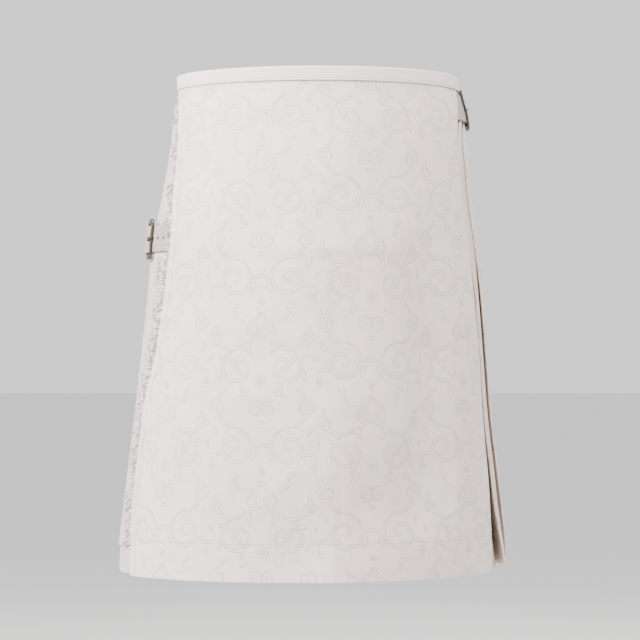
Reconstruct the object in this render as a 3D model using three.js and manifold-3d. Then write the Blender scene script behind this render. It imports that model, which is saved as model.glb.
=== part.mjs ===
// A wrapped kilt, filled out as it is worn, with nothing inside it.
// Units are millimetres. +Z is up, +X is the viewer's right, and the front faces -Y.
// The origin is the centre of the waist ring, at half the height of the waistband.

import * as THREE from 'three';
import { mergeVertices } from 'three/addons/utils/BufferGeometryUtils.js';
import Module from 'manifold-3d';

const wasm = await Module();
wasm.setup();

// Cloth and band
const CLOTH = 1.2;
const LAYER_STEP = 1.6;
const BAND_HEIGHT = 17;
const BAND_WALL = 1.2;
const SEAM = 0.3;
const CLOTH_TOP = 6.8;
const FELL = -207;

// The cloth runs round the body in one spiral, and this is the body it runs round.
// left, right, front and back are half sizes of the ring at that height.
// edgeLeft and edgeRight are the over apron's edges, and firstCrease the first pleat,
// all in degrees in front of the side.
// depth is how far a pleat reaches inwards. Between two rows all of it changes evenly.
const SECTION_COLUMNS = ['z', 'left', 'right', 'front', 'back', 'edgeLeft', 'edgeRight', 'firstCrease', 'depth'];
const SECTIONS = [
  [8.5, 170.5, 171, 124, 118, 8, 7, 3.5, 6.4],
  [-9, 171, 172.5, 125, 120, 10.5, 9, 5.5, 6.4],
  [-42, 178.5, 180.5, 131, 128, 20.5, 18.5, 14.5, 6.4],
  [-85, 184.5, 185, 139, 138, 24.5, 23, 22.3, 6.4],
  [-145, 195, 190.5, 149, 155, 28, 23, 22.3, 6.4],
  [-207, 207, 199, 160, 172, 32, 23, 22.3, 6.4],
  [-260, 211.5, 204.5, 165, 179, 31, 22.5, 20.5, 8.5],
  [-330, 219, 210, 172, 186, 29, 21.5, 20, 11],
  [-410, 228, 215.5, 181, 193, 23.5, 22, 20, 13],
  [-500, 239, 226, 188.5, 199.5, 23.5, 24, 20, 14.5],
  [-600, 251, 236, 195, 206, 28, 27, 12.5, 16],
].map((row) => Object.fromEntries(row.map((value, index) => [SECTION_COLUMNS[index], value])));

// Pleats
const PLEATS = 24;
const BOX_PLEAT = 46;
const LAST_CREASE = 12;
const FIRST_PLEATS_DEEPER = 0.7;
const WIDER_AT_APRON = 0.55;
// Below the fell the pleats open over this height, and their faces swell over the other
const OPENING_REACH = 380;
const SWELL_REACH = 250;
const SWELL = 2.4;

// Hems: the wrap rises towards the viewer's left, where its inner end lies
const APRON_HEM_LEFT = -599;
const APRON_HEM_RIGHT = -595;
const PLEAT_HEM_RIGHT = -592;
const PLEAT_HEM_LEFT = -570;
const UNDER_HEM = -568;
const UNDER_END = 44;

// How far the aprons lie out from, or in from, the ring
const OVER_EDGE_OUT = 3.4;
const UNDER_EDGE_IN = -2.7;
const UNDER_IN = -13;
// Over these lengths from its free edge the over apron comes in to the ring and its folds begin,
// and the under apron goes in under it
const EDGE_SETTLES = 120;
const FOLDS_BEGIN = 60;
const UNDER_SETTLES = 150;
// The folds fade out below the waist, and over this part of the apron's width at its other edge
const FOLDS_TOP = -40;
const FOLDS_END = 0.86;
const FOLDS_FADE = 0.1;

// Soft troughs (negative) and ridges of the over apron: x and z of both ends, width and height
const FOLDS = [
  { x0: 128, z0: -215, x1: 136, z1: -330, width: 26, height: -6.5 },
  { x0: 136, z0: -330, x1: 120, z1: -520, width: 28, height: -6 },
  { x0: 118, z0: -480, x1: -10, z1: -560, width: 36, height: -4.5 },
  { x0: 172, z0: -300, x1: 168, z1: -560, width: 24, height: 3.5 },
  { x0: 30, z0: -400, x1: 22, z1: -590, width: 26, height: 2.5 },
  { x0: -60, z0: -430, x1: -70, z1: -590, width: 40, height: -2.5 },
  { x0: -130, z0: -150, x1: -150, z1: -420, width: 30, height: 2.5 },
  { x0: -60, z0: -120, x1: 60, z1: -190, width: 50, height: 2 },
];

// Fringe at the over apron's free edge
const FRINGE = {
  locks: 124,
  top: -14,
  bottom: -556,
  backing: 1,
  inside: 14,
  outside: 2,
  length: 25,
  lift: 4.4,
  thick: 1.2,
  droop: 7,
  atStrap: 0.3,
  shorterAbove: -190,
  shorterBy: 0.35,
  shorterOver: 60,
  uneven: 0.18,
};
const TAB_END = { top: -567, bottom: -597, reach: 38, round: 9 };

// Straps and buckles
const STRAP = {
  width: 33,
  wall: 1.4,
  lift: 1,
  proud: 0.75,
  tip: 76,
  pointed: 10,
  tipHalf: 7,
  hole: 2.2,
  holePitch: 14,
  holesEachWay: 3,
};
const BUCKLE = {
  length: 26.5,
  height: 50,
  wall: 3,
  barWall: 1.6,
  lift: 2.2,
  front: 5,
  rail: 6.5,
  bar: 3.5,
  corner: 6,
};
const LEAN_FADE = 25;
const TAB = { width: 30, wall: 1, reach: 50 };
const PRONG = { width: 2.2, wall: 1.6 };
// angle is where the frame's front end is, in degrees in front of the side. root is how far the
// strap reaches forward from there, and lean how far its upper edge stands out, for each millimetre up.
const FASTENINGS = [
  { name: 'waist_left', side: 'left', z: -31, angle: -12, root: 122, lean: 0 },
  { name: 'waist_right', side: 'right', z: -31, angle: 4, root: 0, lean: 0 },
  { name: 'hip_left', side: 'left', z: -193, angle: 14, root: 83, lean: 0.1 },
];

// Value of one column of SECTIONS at a height
function atHeight(column, z) {
  const last = SECTIONS.length - 1;
  if (z >= SECTIONS[0].z) return SECTIONS[0][column];
  if (z <= SECTIONS[last].z) return SECTIONS[last][column];
  let row = 0;
  while (SECTIONS[row + 1].z > z) row += 1;
  const part = (z - SECTIONS[row].z) / (SECTIONS[row + 1].z - SECTIONS[row].z);
  return THREE.MathUtils.lerp(SECTIONS[row][column], SECTIONS[row + 1][column], part);
}

const radians = THREE.MathUtils.degToRad;
const smooth = (value) => THREE.MathUtils.smoothstep(value, 0, 1);
const mix = THREE.MathUtils.lerp;

// The ring at one height: a quarter ellipse for each pair of half sizes.
// Arc length is counted from the viewer's right side, round the back.
const STEPS = 360;
class Ring {
  constructor(z) {
    this.left = atHeight('left', z);
    this.right = atHeight('right', z);
    this.front = atHeight('front', z);
    this.back = atHeight('back', z);
    this.arcs = [0];
    let before = this.onRing(0);
    for (let step = 1; step <= STEPS; step += 1) {
      const now = this.onRing((step / STEPS) * 2 * Math.PI);
      this.arcs.push(this.arcs[step - 1] + now.distanceTo(before));
      before = now;
    }
    this.girth = this.arcs[STEPS];
  }

  halves(angle) {
    return [Math.cos(angle) >= 0 ? this.right : this.left, Math.sin(angle) >= 0 ? this.back : this.front];
  }

  onRing(angle, out = 0) {
    const [across, deep] = this.halves(angle);
    const x = Math.cos(angle);
    const y = Math.sin(angle);
    const normal = new THREE.Vector2(x / across, y / deep).normalize();
    return new THREE.Vector2(across * x, deep * y).addScaledVector(normal, out);
  }

  arcAt(angle) {
    const turns = Math.floor(angle / (2 * Math.PI));
    const place = (angle / (2 * Math.PI) - turns) * STEPS;
    const step = Math.min(Math.floor(place), STEPS - 1);
    return turns * this.girth + mix(this.arcs[step], this.arcs[step + 1], place - step);
  }

  angleAt(arc) {
    const turns = Math.floor(arc / this.girth);
    const rest = arc - turns * this.girth;
    let low = 0;
    let high = STEPS;
    while (high - low > 1) {
      const middle = (low + high) >> 1;
      if (this.arcs[middle] <= rest) low = middle;
      else high = middle;
    }
    const part = (rest - this.arcs[low]) / (this.arcs[high] - this.arcs[low]);
    return ((low + part) / STEPS + turns) * 2 * Math.PI;
  }

  point(arc, out) {
    return this.onRing(this.angleAt(arc), out);
  }
}

const rings = new Map();
function ringAt(z) {
  const key = Math.round(z * 20) / 20;
  if (!rings.has(key)) rings.set(key, new Ring(key));
  return rings.get(key);
}

function place(arc, z, out) {
  const { x, y } = ringAt(z).point(arc, out);
  return new THREE.Vector3(x, y, z);
}

// Arc lengths of the main lines, by height
const overLeft = (z) => ringAt(z).arcAt(Math.PI + radians(atHeight('edgeLeft', z))) - ringAt(z).girth;
const overRight = (z) => ringAt(z).arcAt(-radians(atHeight('edgeRight', z)));
const lastCrease = (z) => ringAt(z).arcAt(Math.PI - radians(LAST_CREASE));
const underLeft = (z) => overLeft(z) + ringAt(z).girth;

// Fold lines: number 0 is the over apron's edge, -1 the hidden fold of the box pleat under it,
// 1 to PLEATS the creases, and one more the end of the last pleat's depth
function foldArc(number, z) {
  const edge = overRight(z);
  if (number <= 0) return edge + number * BOX_PLEAT;
  const first = ringAt(z).arcAt(-radians(atHeight('firstCrease', z)));
  const last = lastCrease(z);
  const part = (number - 1) / (PLEATS - 1);
  const opened = smooth((FELL - z) / OPENING_REACH);
  const warped = part + WIDER_AT_APRON * opened * part * (1 - part) * (1 - part);
  return mix(first, last, warped);
}

function foldDepth(number, z) {
  const open = smooth((FELL - z) / OPENING_REACH) * Math.max(0, 1 - Math.abs(number - 1.5) / 3);
  return atHeight('depth', z) * (1 + FIRST_PLEATS_DEEPER * open);
}

function pleatHem(number) {
  return mix(PLEAT_HEM_RIGHT, PLEAT_HEM_LEFT, THREE.MathUtils.clamp(number / PLEATS, 0, 1));
}

// A wall from rows of centre points, bottom row first. Each row is offset to both sides in plan.
function offsetRow(row, distance) {
  return row.map((point, index) => {
    const before = row[Math.max(index - 1, 0)];
    const after = row[Math.min(index + 1, row.length - 1)];
    const into = new THREE.Vector2(point.x - before.x, point.y - before.y);
    const outOf = new THREE.Vector2(after.x - point.x, after.y - point.y);
    if (index === 0) into.copy(outOf);
    if (index === row.length - 1) outOf.copy(into);
    into.normalize();
    outOf.normalize();
    const first = new THREE.Vector2(into.y, -into.x);
    const second = new THREE.Vector2(outOf.y, -outOf.x);
    const spread = Math.max(1 + first.dot(second), 0.3);
    const corner = first.add(second).multiplyScalar(distance / spread);
    return new THREE.Vector3(point.x + corner.x, point.y + corner.y, point.z);
  });
}

function closedMesh(points, faces) {
  const geometry = new THREE.BufferGeometry();
  const numbers = points.flatMap((point) => point.toArray());
  geometry.setAttribute('position', new THREE.Float32BufferAttribute(numbers, 3));
  let volume = 0;
  for (const [a, b, c] of faces) {
    volume += points[a].dot(new THREE.Vector3().crossVectors(points[b], points[c]));
  }
  const turned = volume < 0 ? faces.map(([a, b, c]) => [a, c, b]) : faces;
  geometry.setIndex(turned.flat());
  return geometry;
}

const goesForward = (from, to) => from.x * to.y - from.y * to.x > 0;

// Joins two grids of points, with the same rows and columns, into one closed wall
function wallBetween(outer, inner) {
  const rows = outer.length;
  const columns = outer[0].length;
  const inside = rows * columns;
  const at = (side, row, column) => side * inside + row * columns + column;
  const faces = [];
  const quad = (a, b, c, d) => faces.push([a, b, c], [a, c, d]);
  for (let row = 0; row < rows - 1; row += 1) {
    for (let column = 0; column < columns - 1; column += 1) {
      const [a, b] = [at(0, row, column), at(0, row, column + 1)];
      const [c, d] = [at(0, row + 1, column + 1), at(0, row + 1, column)];
      // Leaves that come back are split like the ones that go forward, so that both stay parallel
      const forward = goesForward(outer[row][column], outer[row][column + 1]);
      const halves = forward ? [[a, b, c], [a, c, d]] : [[b, c, d], [b, d, a]];
      for (const [p, q, r] of halves) faces.push([p, q, r], [inside + p, inside + r, inside + q]);
    }
    const end = columns - 1;
    quad(at(0, row, 0), at(0, row + 1, 0), at(1, row + 1, 0), at(1, row, 0));
    quad(at(0, row, end), at(1, row, end), at(1, row + 1, end), at(0, row + 1, end));
  }
  for (let column = 0; column < columns - 1; column += 1) {
    const top = rows - 1;
    quad(at(0, 0, column), at(1, 0, column), at(1, 0, column + 1), at(0, 0, column + 1));
    quad(at(0, top, column), at(0, top, column + 1), at(1, top, column + 1), at(1, top, column));
  }
  return closedMesh([...outer.flat(), ...inner.flat()], faces);
}

function clothWall(rows) {
  const side = (distance) => rows.map((row) => offsetRow(row, distance));
  return wallBetween(side(CLOTH / 2), side(-CLOTH / 2));
}

// A wall of cloth has a row of points at each section, from its hem to the top of the cloth.
// rowAt gives the points of one row, from its number and height.
function clothRows(rowAt) {
  const heights = SECTIONS.map((section) => section.z).reverse();
  heights[heights.length - 1] = CLOTH_TOP;
  return heights.map((z, row) => rowAt(z, row === 0));
}

// The over apron
function apronRelief(x, z) {
  let height = 0;
  for (const fold of FOLDS) {
    const along = new THREE.Vector2(fold.x1 - fold.x0, fold.z1 - fold.z0);
    const from = new THREE.Vector2(x - fold.x0, z - fold.z0);
    const part = THREE.MathUtils.clamp(from.dot(along) / along.lengthSq(), 0, 1);
    const away = from.addScaledVector(along, -part).length();
    height += fold.height * Math.exp(-((away / fold.width) ** 2));
  }
  return height;
}

function overOut(arcFromEdge, x, z) {
  const edge = OVER_EDGE_OUT * (1 - smooth(arcFromEdge / EDGE_SETTLES));
  const free = smooth(arcFromEdge / FOLDS_BEGIN) * smooth((FOLDS_TOP - z) / FOLDS_BEGIN);
  return edge + free * apronRelief(x, z);
}

// Arc lengths of the over apron's columns: even ones, and closer ones at the box pleat's hidden fold
function overArcs(z) {
  const even = 24;
  const beforeFold = 6;
  const atFold = 2;
  const left = overLeft(z);
  const right = foldArc(0, z);
  const hidden = foldArc(-1, z);
  const arcs = [];
  for (let column = 0; column < even; column += 1) {
    arcs.push(mix(left, hidden - beforeFold, column / (even - 1)));
  }
  return [...arcs, hidden - atFold, foldArc(-0.5, z), right];
}

function overOutAt(arc, z) {
  const left = overLeft(z);
  const part = (arc - left) / (foldArc(0, z) - left);
  const settled = 1 - smooth((part - FOLDS_END) / FOLDS_FADE);
  return overOut(arc - left, ringAt(z).point(arc, 0).x, z) * settled;
}

function overApron() {
  return clothWall(clothRows((height, isHem) => {
    const columns = overArcs(height).length;
    const row = [];
    for (let column = 0; column < columns; column += 1) {
      const z = isHem ? mix(APRON_HEM_LEFT, APRON_HEM_RIGHT, column / (columns - 1)) : height;
      const arc = overArcs(z)[column];
      row.push(place(arc, z, overOutAt(arc, z)));
    }
    const z = isHem ? APRON_HEM_RIGHT : height;
    const hidden = boxFold(z) + LAYER_STEP;
    row.push(place(foldArc(0, z), z, -LAYER_STEP));
    row.push(place(foldArc(-0.5, z), z, mix(-LAYER_STEP, hidden, 0.5)));
    row.push(place(foldArc(-1, z), z, hidden));
    return row;
  }));
}

const boxFold = (z) => -foldDepth(0, z) / 2;

// The pleats from one fold to another. Each face goes forward under the next crease, and its
// leaf comes back between the two.
function pleatPath(first, last, z) {
  const path = [];
  const add = (number, out) => path.push({ number, out });
  if (first === 0) {
    add(-1, boxFold(z));
    add(-0.5, boxFold(z));
    add(0, boxFold(z));
    add(1, -foldDepth(1, z) / 2);
    add(2, -foldDepth(2, z));
  }
  for (let crease = Math.max(first, 1); crease <= last; crease += 1) {
    add(crease + 1, LAYER_STEP - foldDepth(crease + 1, z));
    add(crease, -LAYER_STEP);
    add(crease, 0);
    add(crease + 0.5, -foldDepth(crease + 1, z) / 4 + pleatSwell(z));
    add(crease + 1, -foldDepth(crease + 1, z) / 2);
    add(crease + 2, -foldDepth(crease + 2, z));
  }
  return path;
}

const pleatSwell = (z) => SWELL * smooth((FELL - z) / SWELL_REACH);

function pleats(first, last) {
  return clothWall(clothRows((height, isHem) => pleatPath(first, last, height).map(({ number, out }) => {
    const z = isHem ? pleatHem(number) : height;
    return place(foldArc(number, z), z, out);
  })));
}

// The under apron: the last pleat's face, the smooth strip at the viewer's left, and the
// panel that lies across the front under the over apron
function underOut(arc, z) {
  const edge = underLeft(z);
  const crease = lastCrease(z);
  if (arc < edge) return UNDER_EDGE_IN * smooth((arc - crease) / (edge - crease));
  return mix(UNDER_EDGE_IN, UNDER_IN, smooth((arc - edge) / UNDER_SETTLES));
}

// Arc lengths of the under apron's columns, from the last crease to its free edge
function underArcs(z) {
  const even = 19;
  const atFold = 3;
  const pastFold = 8;
  const deep = foldArc(PLEATS + 1, z);
  const end = ringAt(z).arcAt(2 * Math.PI - radians(UNDER_END));
  const arcs = [foldArc(PLEATS, z), foldArc(PLEATS + 0.5, z), deep, deep + atFold];
  for (let column = 0; column < even; column += 1) arcs.push(mix(deep + pastFold, end, column / (even - 1)));
  return arcs;
}

function underApron() {
  return clothWall(clothRows((height, isHem) => {
    const z = isHem ? UNDER_HEM : height;
    return [
      place(foldArc(PLEATS + 1, z), z, LAYER_STEP - foldDepth(PLEATS + 1, z)),
      place(foldArc(PLEATS, z), z, -LAYER_STEP),
      ...underArcs(z).map((arc) => place(arc, z, underOut(arc, z))),
    ];
  }));
}

// The waistband: a strip folded over the top edge all along the wrap
// Each station is an arc length with the outer and inner face of the layers there.
function bandStations(z) {
  const clear = CLOTH / 2 + 1.5 * SEAM;
  const deep = -SECTIONS[0].depth;
  const layered = 4;
  const atFold = 3;
  const stations = [];
  const add = (arc, outer, inner) => stations.push({ arc, outer: outer + clear, inner: inner - clear });
  for (const arc of overArcs(z)) {
    const out = overOutAt(arc, z);
    add(arc, out, arc > foldArc(-1, z) - atFold ? -2 * LAYER_STEP : out);
  }
  for (let number = 1; number < PLEATS; number += 0.5) add(foldArc(number, z), 0, deep);
  underArcs(z).forEach((arc, column) => {
    const out = underOut(arc, z);
    add(arc, out, column < layered ? deep : out);
  });
  return stations;
}

function waistband() {
  const half = BAND_HEIGHT / 2;
  const points = [];
  const top = bandStations(half);
  const bottom = bandStations(-half);
  const stations = top.length;
  for (let station = 0; station < stations; station += 1) {
    const high = top[station];
    const low = bottom[station];
    points.push(
      place(low.arc, -half, low.outer + BAND_WALL),
      place(high.arc, half, high.outer + BAND_WALL),
      place(high.arc, half, high.inner - BAND_WALL),
      place(low.arc, -half, low.inner - BAND_WALL),
      place(low.arc, -half, low.inner),
      place(high.arc, half - BAND_WALL, high.inner),
      place(high.arc, half - BAND_WALL, high.outer),
      place(low.arc, -half, low.outer),
    );
  }
  const faces = [];
  const quad = (a, b, c, d) => faces.push([a, b, c], [a, c, d]);
  const sides = 8;
  for (let station = 0; station < stations - 1; station += 1) {
    for (let side = 0; side < sides; side += 1) {
      const next = (side + 1) % sides;
      const here = station * sides;
      const there = here + sides;
      quad(here + side, here + next, there + next, there + side);
    }
  }
  const end = (stations - 1) * sides;
  for (const [a, b, c, d] of [[0, 1, 6, 7], [1, 2, 5, 6], [2, 3, 4, 5]]) {
    quad(a, d, c, b);
    quad(end + a, end + b, end + c, end + d);
  }
  return closedMesh(points, faces);
}

// Joining and cutting
function toSolid(geometry) {
  const bare = new THREE.BufferGeometry();
  bare.setAttribute('position', geometry.getAttribute('position').clone());
  if (geometry.index) bare.setIndex(geometry.index.clone());
  const merged = mergeVertices(bare, 1e-4);
  const mesh = new wasm.Mesh({
    numProp: 3,
    vertProperties: new Float32Array(merged.getAttribute('position').array),
    triVerts: new Uint32Array(merged.index.array),
  });
  return new wasm.Manifold(mesh);
}

function toGeometry(solid) {
  const mesh = solid.getMesh();
  const geometry = new THREE.BufferGeometry();
  geometry.setAttribute('position', new THREE.Float32BufferAttribute(mesh.vertProperties, 3));
  geometry.setIndex(Array.from(mesh.triVerts));
  return geometry;
}

// A rod of sides corners along points, with a radius at each point
function taperedRod(points, radii, sides) {
  const corners = [];
  points.forEach((point, index) => {
    const before = points[Math.max(index - 1, 0)];
    const after = points[Math.min(index + 1, points.length - 1)];
    const along = after.clone().sub(before).normalize();
    const across = new THREE.Vector3(0, 0, 1).cross(along).normalize();
    const up = along.clone().cross(across);
    for (let side = 0; side < sides; side += 1) {
      const turn = (2 * Math.PI * side) / sides;
      corners.push(point.clone()
        .addScaledVector(across, radii[index] * Math.cos(turn))
        .addScaledVector(up, radii[index] * Math.sin(turn)));
    }
  });
  const faces = [];
  for (let ring = 0; ring < points.length - 1; ring += 1) {
    for (let side = 0; side < sides; side += 1) {
      const next = (side + 1) % sides;
      const here = ring * sides;
      const there = here + sides;
      faces.push([here + side, here + next, there + next], [here + side, there + next, there + side]);
    }
  }
  const end = (points.length - 1) * sides;
  for (let side = 1; side < sides - 1; side += 1) {
    faces.push([0, side + 1, side], [end, end + side, end + side + 1]);
  }
  return closedMesh(corners, faces);
}

// Even, repeatable unevenness between -1 and 1
function uneven(number, salt) {
  return Math.sin(number * 12.9898 + salt * 78.233) * Math.cos(number * 4.1414 + salt * 11.7);
}

// The fringe: a strip sewn under the over apron's free edge, with its threads drawn out
const fringeOut = (arc, z) => underOut(arc, z) + FRINGE.lift;

// The locks are short where the hip strap lies over them
function atStrap(z) {
  const hip = FASTENINGS.find((fastening) => fastening.name === 'hip_left');
  const away = Math.abs(z - FRINGE.droop / 2 - hip.z) - STRAP.width / 2;
  return away < 2 * FRINGE.droop ? FRINGE.atStrap : 1;
}

function fringe() {
  const outer = [];
  const inner = [];
  const heights = SECTIONS.map((section) => section.z).filter((z) => z < FRINGE.top && z > TAB_END.bottom);
  for (const z of [TAB_END.bottom, ...heights.reverse(), FRINGE.top]) {
    const edge = underLeft(z);
    const middle = UNDER_EDGE_IN + FRINGE.lift;
    const arcs = [edge - FRINGE.outside, edge + FRINGE.inside];
    outer.push(arcs.map((arc) => place(arc, z, middle + FRINGE.backing / 2)));
    inner.push(arcs.map((arc) => place(arc, z, middle - FRINGE.backing / 2)));
  }
  const pieces = [toSolid(wallBetween(outer, inner))];
  for (let lock = 0; lock < FRINGE.locks; lock += 1) {
    const z = mix(FRINGE.bottom, FRINGE.top - 2, lock / (FRINGE.locks - 1));
    const quiet = 1 - FRINGE.shorterBy * smooth((z - FRINGE.shorterAbove) / FRINGE.shorterOver);
    const length = FRINGE.length * quiet * atStrap(z) * (1 + FRINGE.uneven * uneven(lock, 1));
    const droop = FRINGE.droop * (0.75 + 0.25 * Math.sin(lock * 0.37));
    const points = [];
    for (const part of [-0.06, 0.5, 1]) {
      const low = z - droop * Math.max(part, 0) ** 2;
      const arc = underLeft(low) - FRINGE.outside - length * part;
      const curl = part > 0 ? 0.5 * part * (1 + uneven(lock, 3)) : 0;
      points.push(place(arc, low, fringeOut(arc, low) + curl));
    }
    const half = FRINGE.thick / 2;
    pieces.push(toSolid(taperedRod(points, [half * 0.7, half, half * 0.6], 3)));
  }
  pieces.push(toSolid(fringeEnd()));
  return toGeometry(wasm.Manifold.union(pieces));
}

// The unfrayed lower end of that strip, with its corner rounded
function fringeEnd() {
  const columns = 7;
  const outer = [[], []];
  const inner = [[], []];
  for (let column = 0; column < columns; column += 1) {
    const along = mix(-FRINGE.inside / 2, TAB_END.reach, column / (columns - 1));
    const round = Math.max(0, along - TAB_END.reach + TAB_END.round) / TAB_END.round;
    const lift = TAB_END.round * (1 - Math.sqrt(1 - Math.min(round, 0.98) ** 2));
    [TAB_END.bottom + lift, TAB_END.top - lift * 0.4].forEach((z, row) => {
      const arc = underLeft(z) - along;
      const middle = fringeOut(arc, z);
      outer[row].push(place(arc, z, middle + FRINGE.backing / 2));
      inner[row].push(place(arc, z, middle - FRINGE.backing / 2));
    });
  }
  return wallBetween(outer, inner);
}

// Straps and buckles are laid out flat: along the strap, up, and out from the cloth.
// This bends such a piece round the body at its fastening. Upwards it stays straight.
function onBody(fastening, along, z, out) {
  const turn = radians(fastening.angle);
  const middle = ringAt(fastening.z);
  if (fastening.side === 'right') return place(middle.arcAt(-turn) + along, z, out);
  const toSide = middle.arcAt(Math.PI + turn) - middle.arcAt(Math.PI);
  const arc = ringAt(z).arcAt(Math.PI) + toSide - along;
  const up = z - fastening.z + STRAP.width / 2;
  const leaning = fastening.lean * up * smooth((along + LEAN_FADE) / LEAN_FADE);
  return place(arc, z, out + leaning + (arc > lastCrease(z) ? underOut(arc, z) : 0));
}

function layOn(geometry, fastening) {
  const position = geometry.getAttribute('position');
  const half = STRAP.width / 2;
  for (let index = 0; index < position.count; index += 1) {
    const along = position.getX(index);
    const out = position.getZ(index) + CLOTH / 2 + STRAP.proud;
    const low = onBody(fastening, along, fastening.z - half, out);
    const high = onBody(fastening, along, fastening.z + half, out);
    const point = low.lerp(high, (position.getY(index) + half) / STRAP.width);
    position.setXYZ(index, point.x, point.y, point.z);
  }
  // At the left the piece is mirrored, so its faces are turned to point outwards again
  if (fastening.side === 'left') geometry.index.array.reverse();
  return geometry;
}

// A bent strip: path is the middle of its wall, halves its half height at each point
function strip(path, wall, halves, slants = path.map(() => 0)) {
  const flat = path.map(([along, out]) => new THREE.Vector3(along, out, 0));
  const grid = (side) => [-1, 1].map((sign) => side.map(({ x, y }, index) => {
    const up = sign * halves[index];
    return new THREE.Vector3(x + slants[index] * up, up, y);
  }));
  return wallBetween(grid(offsetRow(flat, -wall / 2)), grid(offsetRow(flat, wall / 2)));
}

function spread(path, step) {
  const points = [path[0]];
  for (let index = 1; index < path.length; index += 1) {
    const [a0, b0] = path[index - 1];
    const [a1, b1] = path[index];
    const count = Math.max(1, Math.round(Math.abs(a1 - a0) / step));
    for (let part = 1; part <= count; part += 1) {
      points.push([mix(a0, a1, part / count), mix(b0, b1, part / count)]);
    }
  }
  return points;
}

const overBar = BUCKLE.lift + BUCKLE.barWall + 3 * SEAM + TAB.wall + STRAP.wall / 2;
const barStart = BUCKLE.length - BUCKLE.bar;
const holeAt = (BUCKLE.front + barStart) / 2;

// Where the strap at the viewer's right comes out, between the over apron's edge and the first pleat
function slitAlong(fastening, up) {
  const from = ringAt(fastening.z).arcAt(-radians(fastening.angle));
  return foldArc(0, fastening.z + up) - from + 2.2;
}

function strap(fastening) {
  const { tip } = STRAP;
  const right = fastening.side === 'right';
  const start = right ? slitAlong(fastening, 0) : -fastening.root;
  const path = right ? [[start, -1.6], [start + 5.5, STRAP.lift]] : [[start, STRAP.lift]];
  path.push([BUCKLE.front + 0.5, STRAP.lift], [barStart - 2.6, overBar], [BUCKLE.length + 2, overBar]);
  path.push([TAB.reach - 4, 4.1], [TAB.reach + 12, STRAP.lift], [tip, STRAP.lift]);
  const points = spread(path, 12);
  const { pointed, tipHalf } = STRAP;
  const half = STRAP.width / 2;
  const halves = points.map(([along]) => mix(half, tipHalf, Math.max(0, (along - tip + pointed) / pointed)));
  const slant = (slitAlong(fastening, half) - slitAlong(fastening, -half)) / STRAP.width;
  const slants = points.map((point, index) => (right && index < 2 ? slant : 0));
  let solid = toSolid(strip(points, STRAP.wall, halves, slants));
  for (let hole = -STRAP.holesEachWay; hole <= STRAP.holesEachWay; hole += 1) {
    const along = holeAt + hole * STRAP.holePitch;
    if (along > start + 12) {
      const punch = new THREE.CylinderGeometry(STRAP.hole, STRAP.hole, 12, 8);
      punch.rotateX(Math.PI / 2);
      if (hole === 0) punch.scale(1.9, 1, 1.4);
      punch.translate(along, 0, hole === 0 ? 5 : 3.5);
      solid = solid.subtract(toSolid(punch));
    }
  }
  return layOn(toGeometry(solid), fastening);
}

// Its long sides have points of their own, so that they can bend round the body
function roundedRectangle(target, x0, y0, x1, y1, radius) {
  const along = [0.25, 0.5, 0.75].map((part) => mix(x0 + radius, x1 - radius, part));
  target.moveTo(x0 + radius, y0);
  for (const x of along) target.lineTo(x, y0);
  target.lineTo(x1 - radius, y0);
  target.absarc(x1 - radius, y0 + radius, radius, -Math.PI / 2, 0);
  target.lineTo(x1, y1 - radius);
  target.absarc(x1 - radius, y1 - radius, radius, 0, Math.PI / 2);
  for (const x of along.reverse()) target.lineTo(x, y1);
  target.lineTo(x0 + radius, y1);
  target.absarc(x0 + radius, y1 - radius, radius, Math.PI / 2, Math.PI);
  target.lineTo(x0, y0 + radius);
  target.absarc(x0 + radius, y0 + radius, radius, Math.PI, 1.5 * Math.PI);
  return target;
}

function buckle(fastening) {
  const half = BUCKLE.height / 2;
  const outline = roundedRectangle(new THREE.Shape(), 0, -half, BUCKLE.length, half, BUCKLE.corner);
  const inside = half - BUCKLE.rail;
  outline.holes.push(roundedRectangle(new THREE.Path(), BUCKLE.front, -inside, barStart, inside, 2));
  const drawnOut = { depth: BUCKLE.wall, bevelEnabled: false, curveSegments: 4 };
  const frame = new THREE.ExtrudeGeometry(outline, drawnOut);
  frame.translate(0, 0, BUCKLE.lift);
  // The bar that the tab is looped round is thinner than the frame
  const spare = new THREE.BoxGeometry(2 * BUCKLE.bar, 2 * inside, BUCKLE.wall);
  spare.translate(BUCKLE.length, 0, BUCKLE.lift + BUCKLE.barWall + BUCKLE.wall / 2);
  return layOn(toGeometry(toSolid(frame).subtract(toSolid(spare))), fastening);
}

function prong(fastening) {
  const top = BUCKLE.lift + BUCKLE.wall + SEAM + PRONG.wall / 2;
  const root = barStart - 2 * SEAM - TAB.wall - 0.2;
  const path = [
    [root, BUCKLE.lift + 1], [holeAt + 4, BUCKLE.lift + 1.2],
    [holeAt - 3.5, top - 0.3], [BUCKLE.front, top], [-1, top],
  ];
  const halves = [PRONG.width / 2, PRONG.width / 2, PRONG.width / 2, PRONG.width / 2, PRONG.width / 2 - 0.4];
  return layOn(toGeometry(toSolid(strip(path, PRONG.wall, halves))), fastening);
}

function tab(fastening) {
  const under = BUCKLE.lift - SEAM - TAB.wall / 2;
  const over = BUCKLE.lift + BUCKLE.barWall + SEAM + TAB.wall / 2;
  const front = barStart - SEAM - TAB.wall / 2;
  const low = SEAM + TAB.wall / 2;
  const path = spread([
    [TAB.reach, low], [BUCKLE.length + 8, low], [BUCKLE.length + 2, under], [front, under],
    [front, over], [BUCKLE.length + 2, over], [TAB.reach - 2, low + TAB.wall + SEAM],
  ], 14);
  const halves = path.map(() => TAB.width / 2);
  return layOn(toGeometry(toSolid(strip(path, TAB.wall, halves))), fastening);
}

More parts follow.
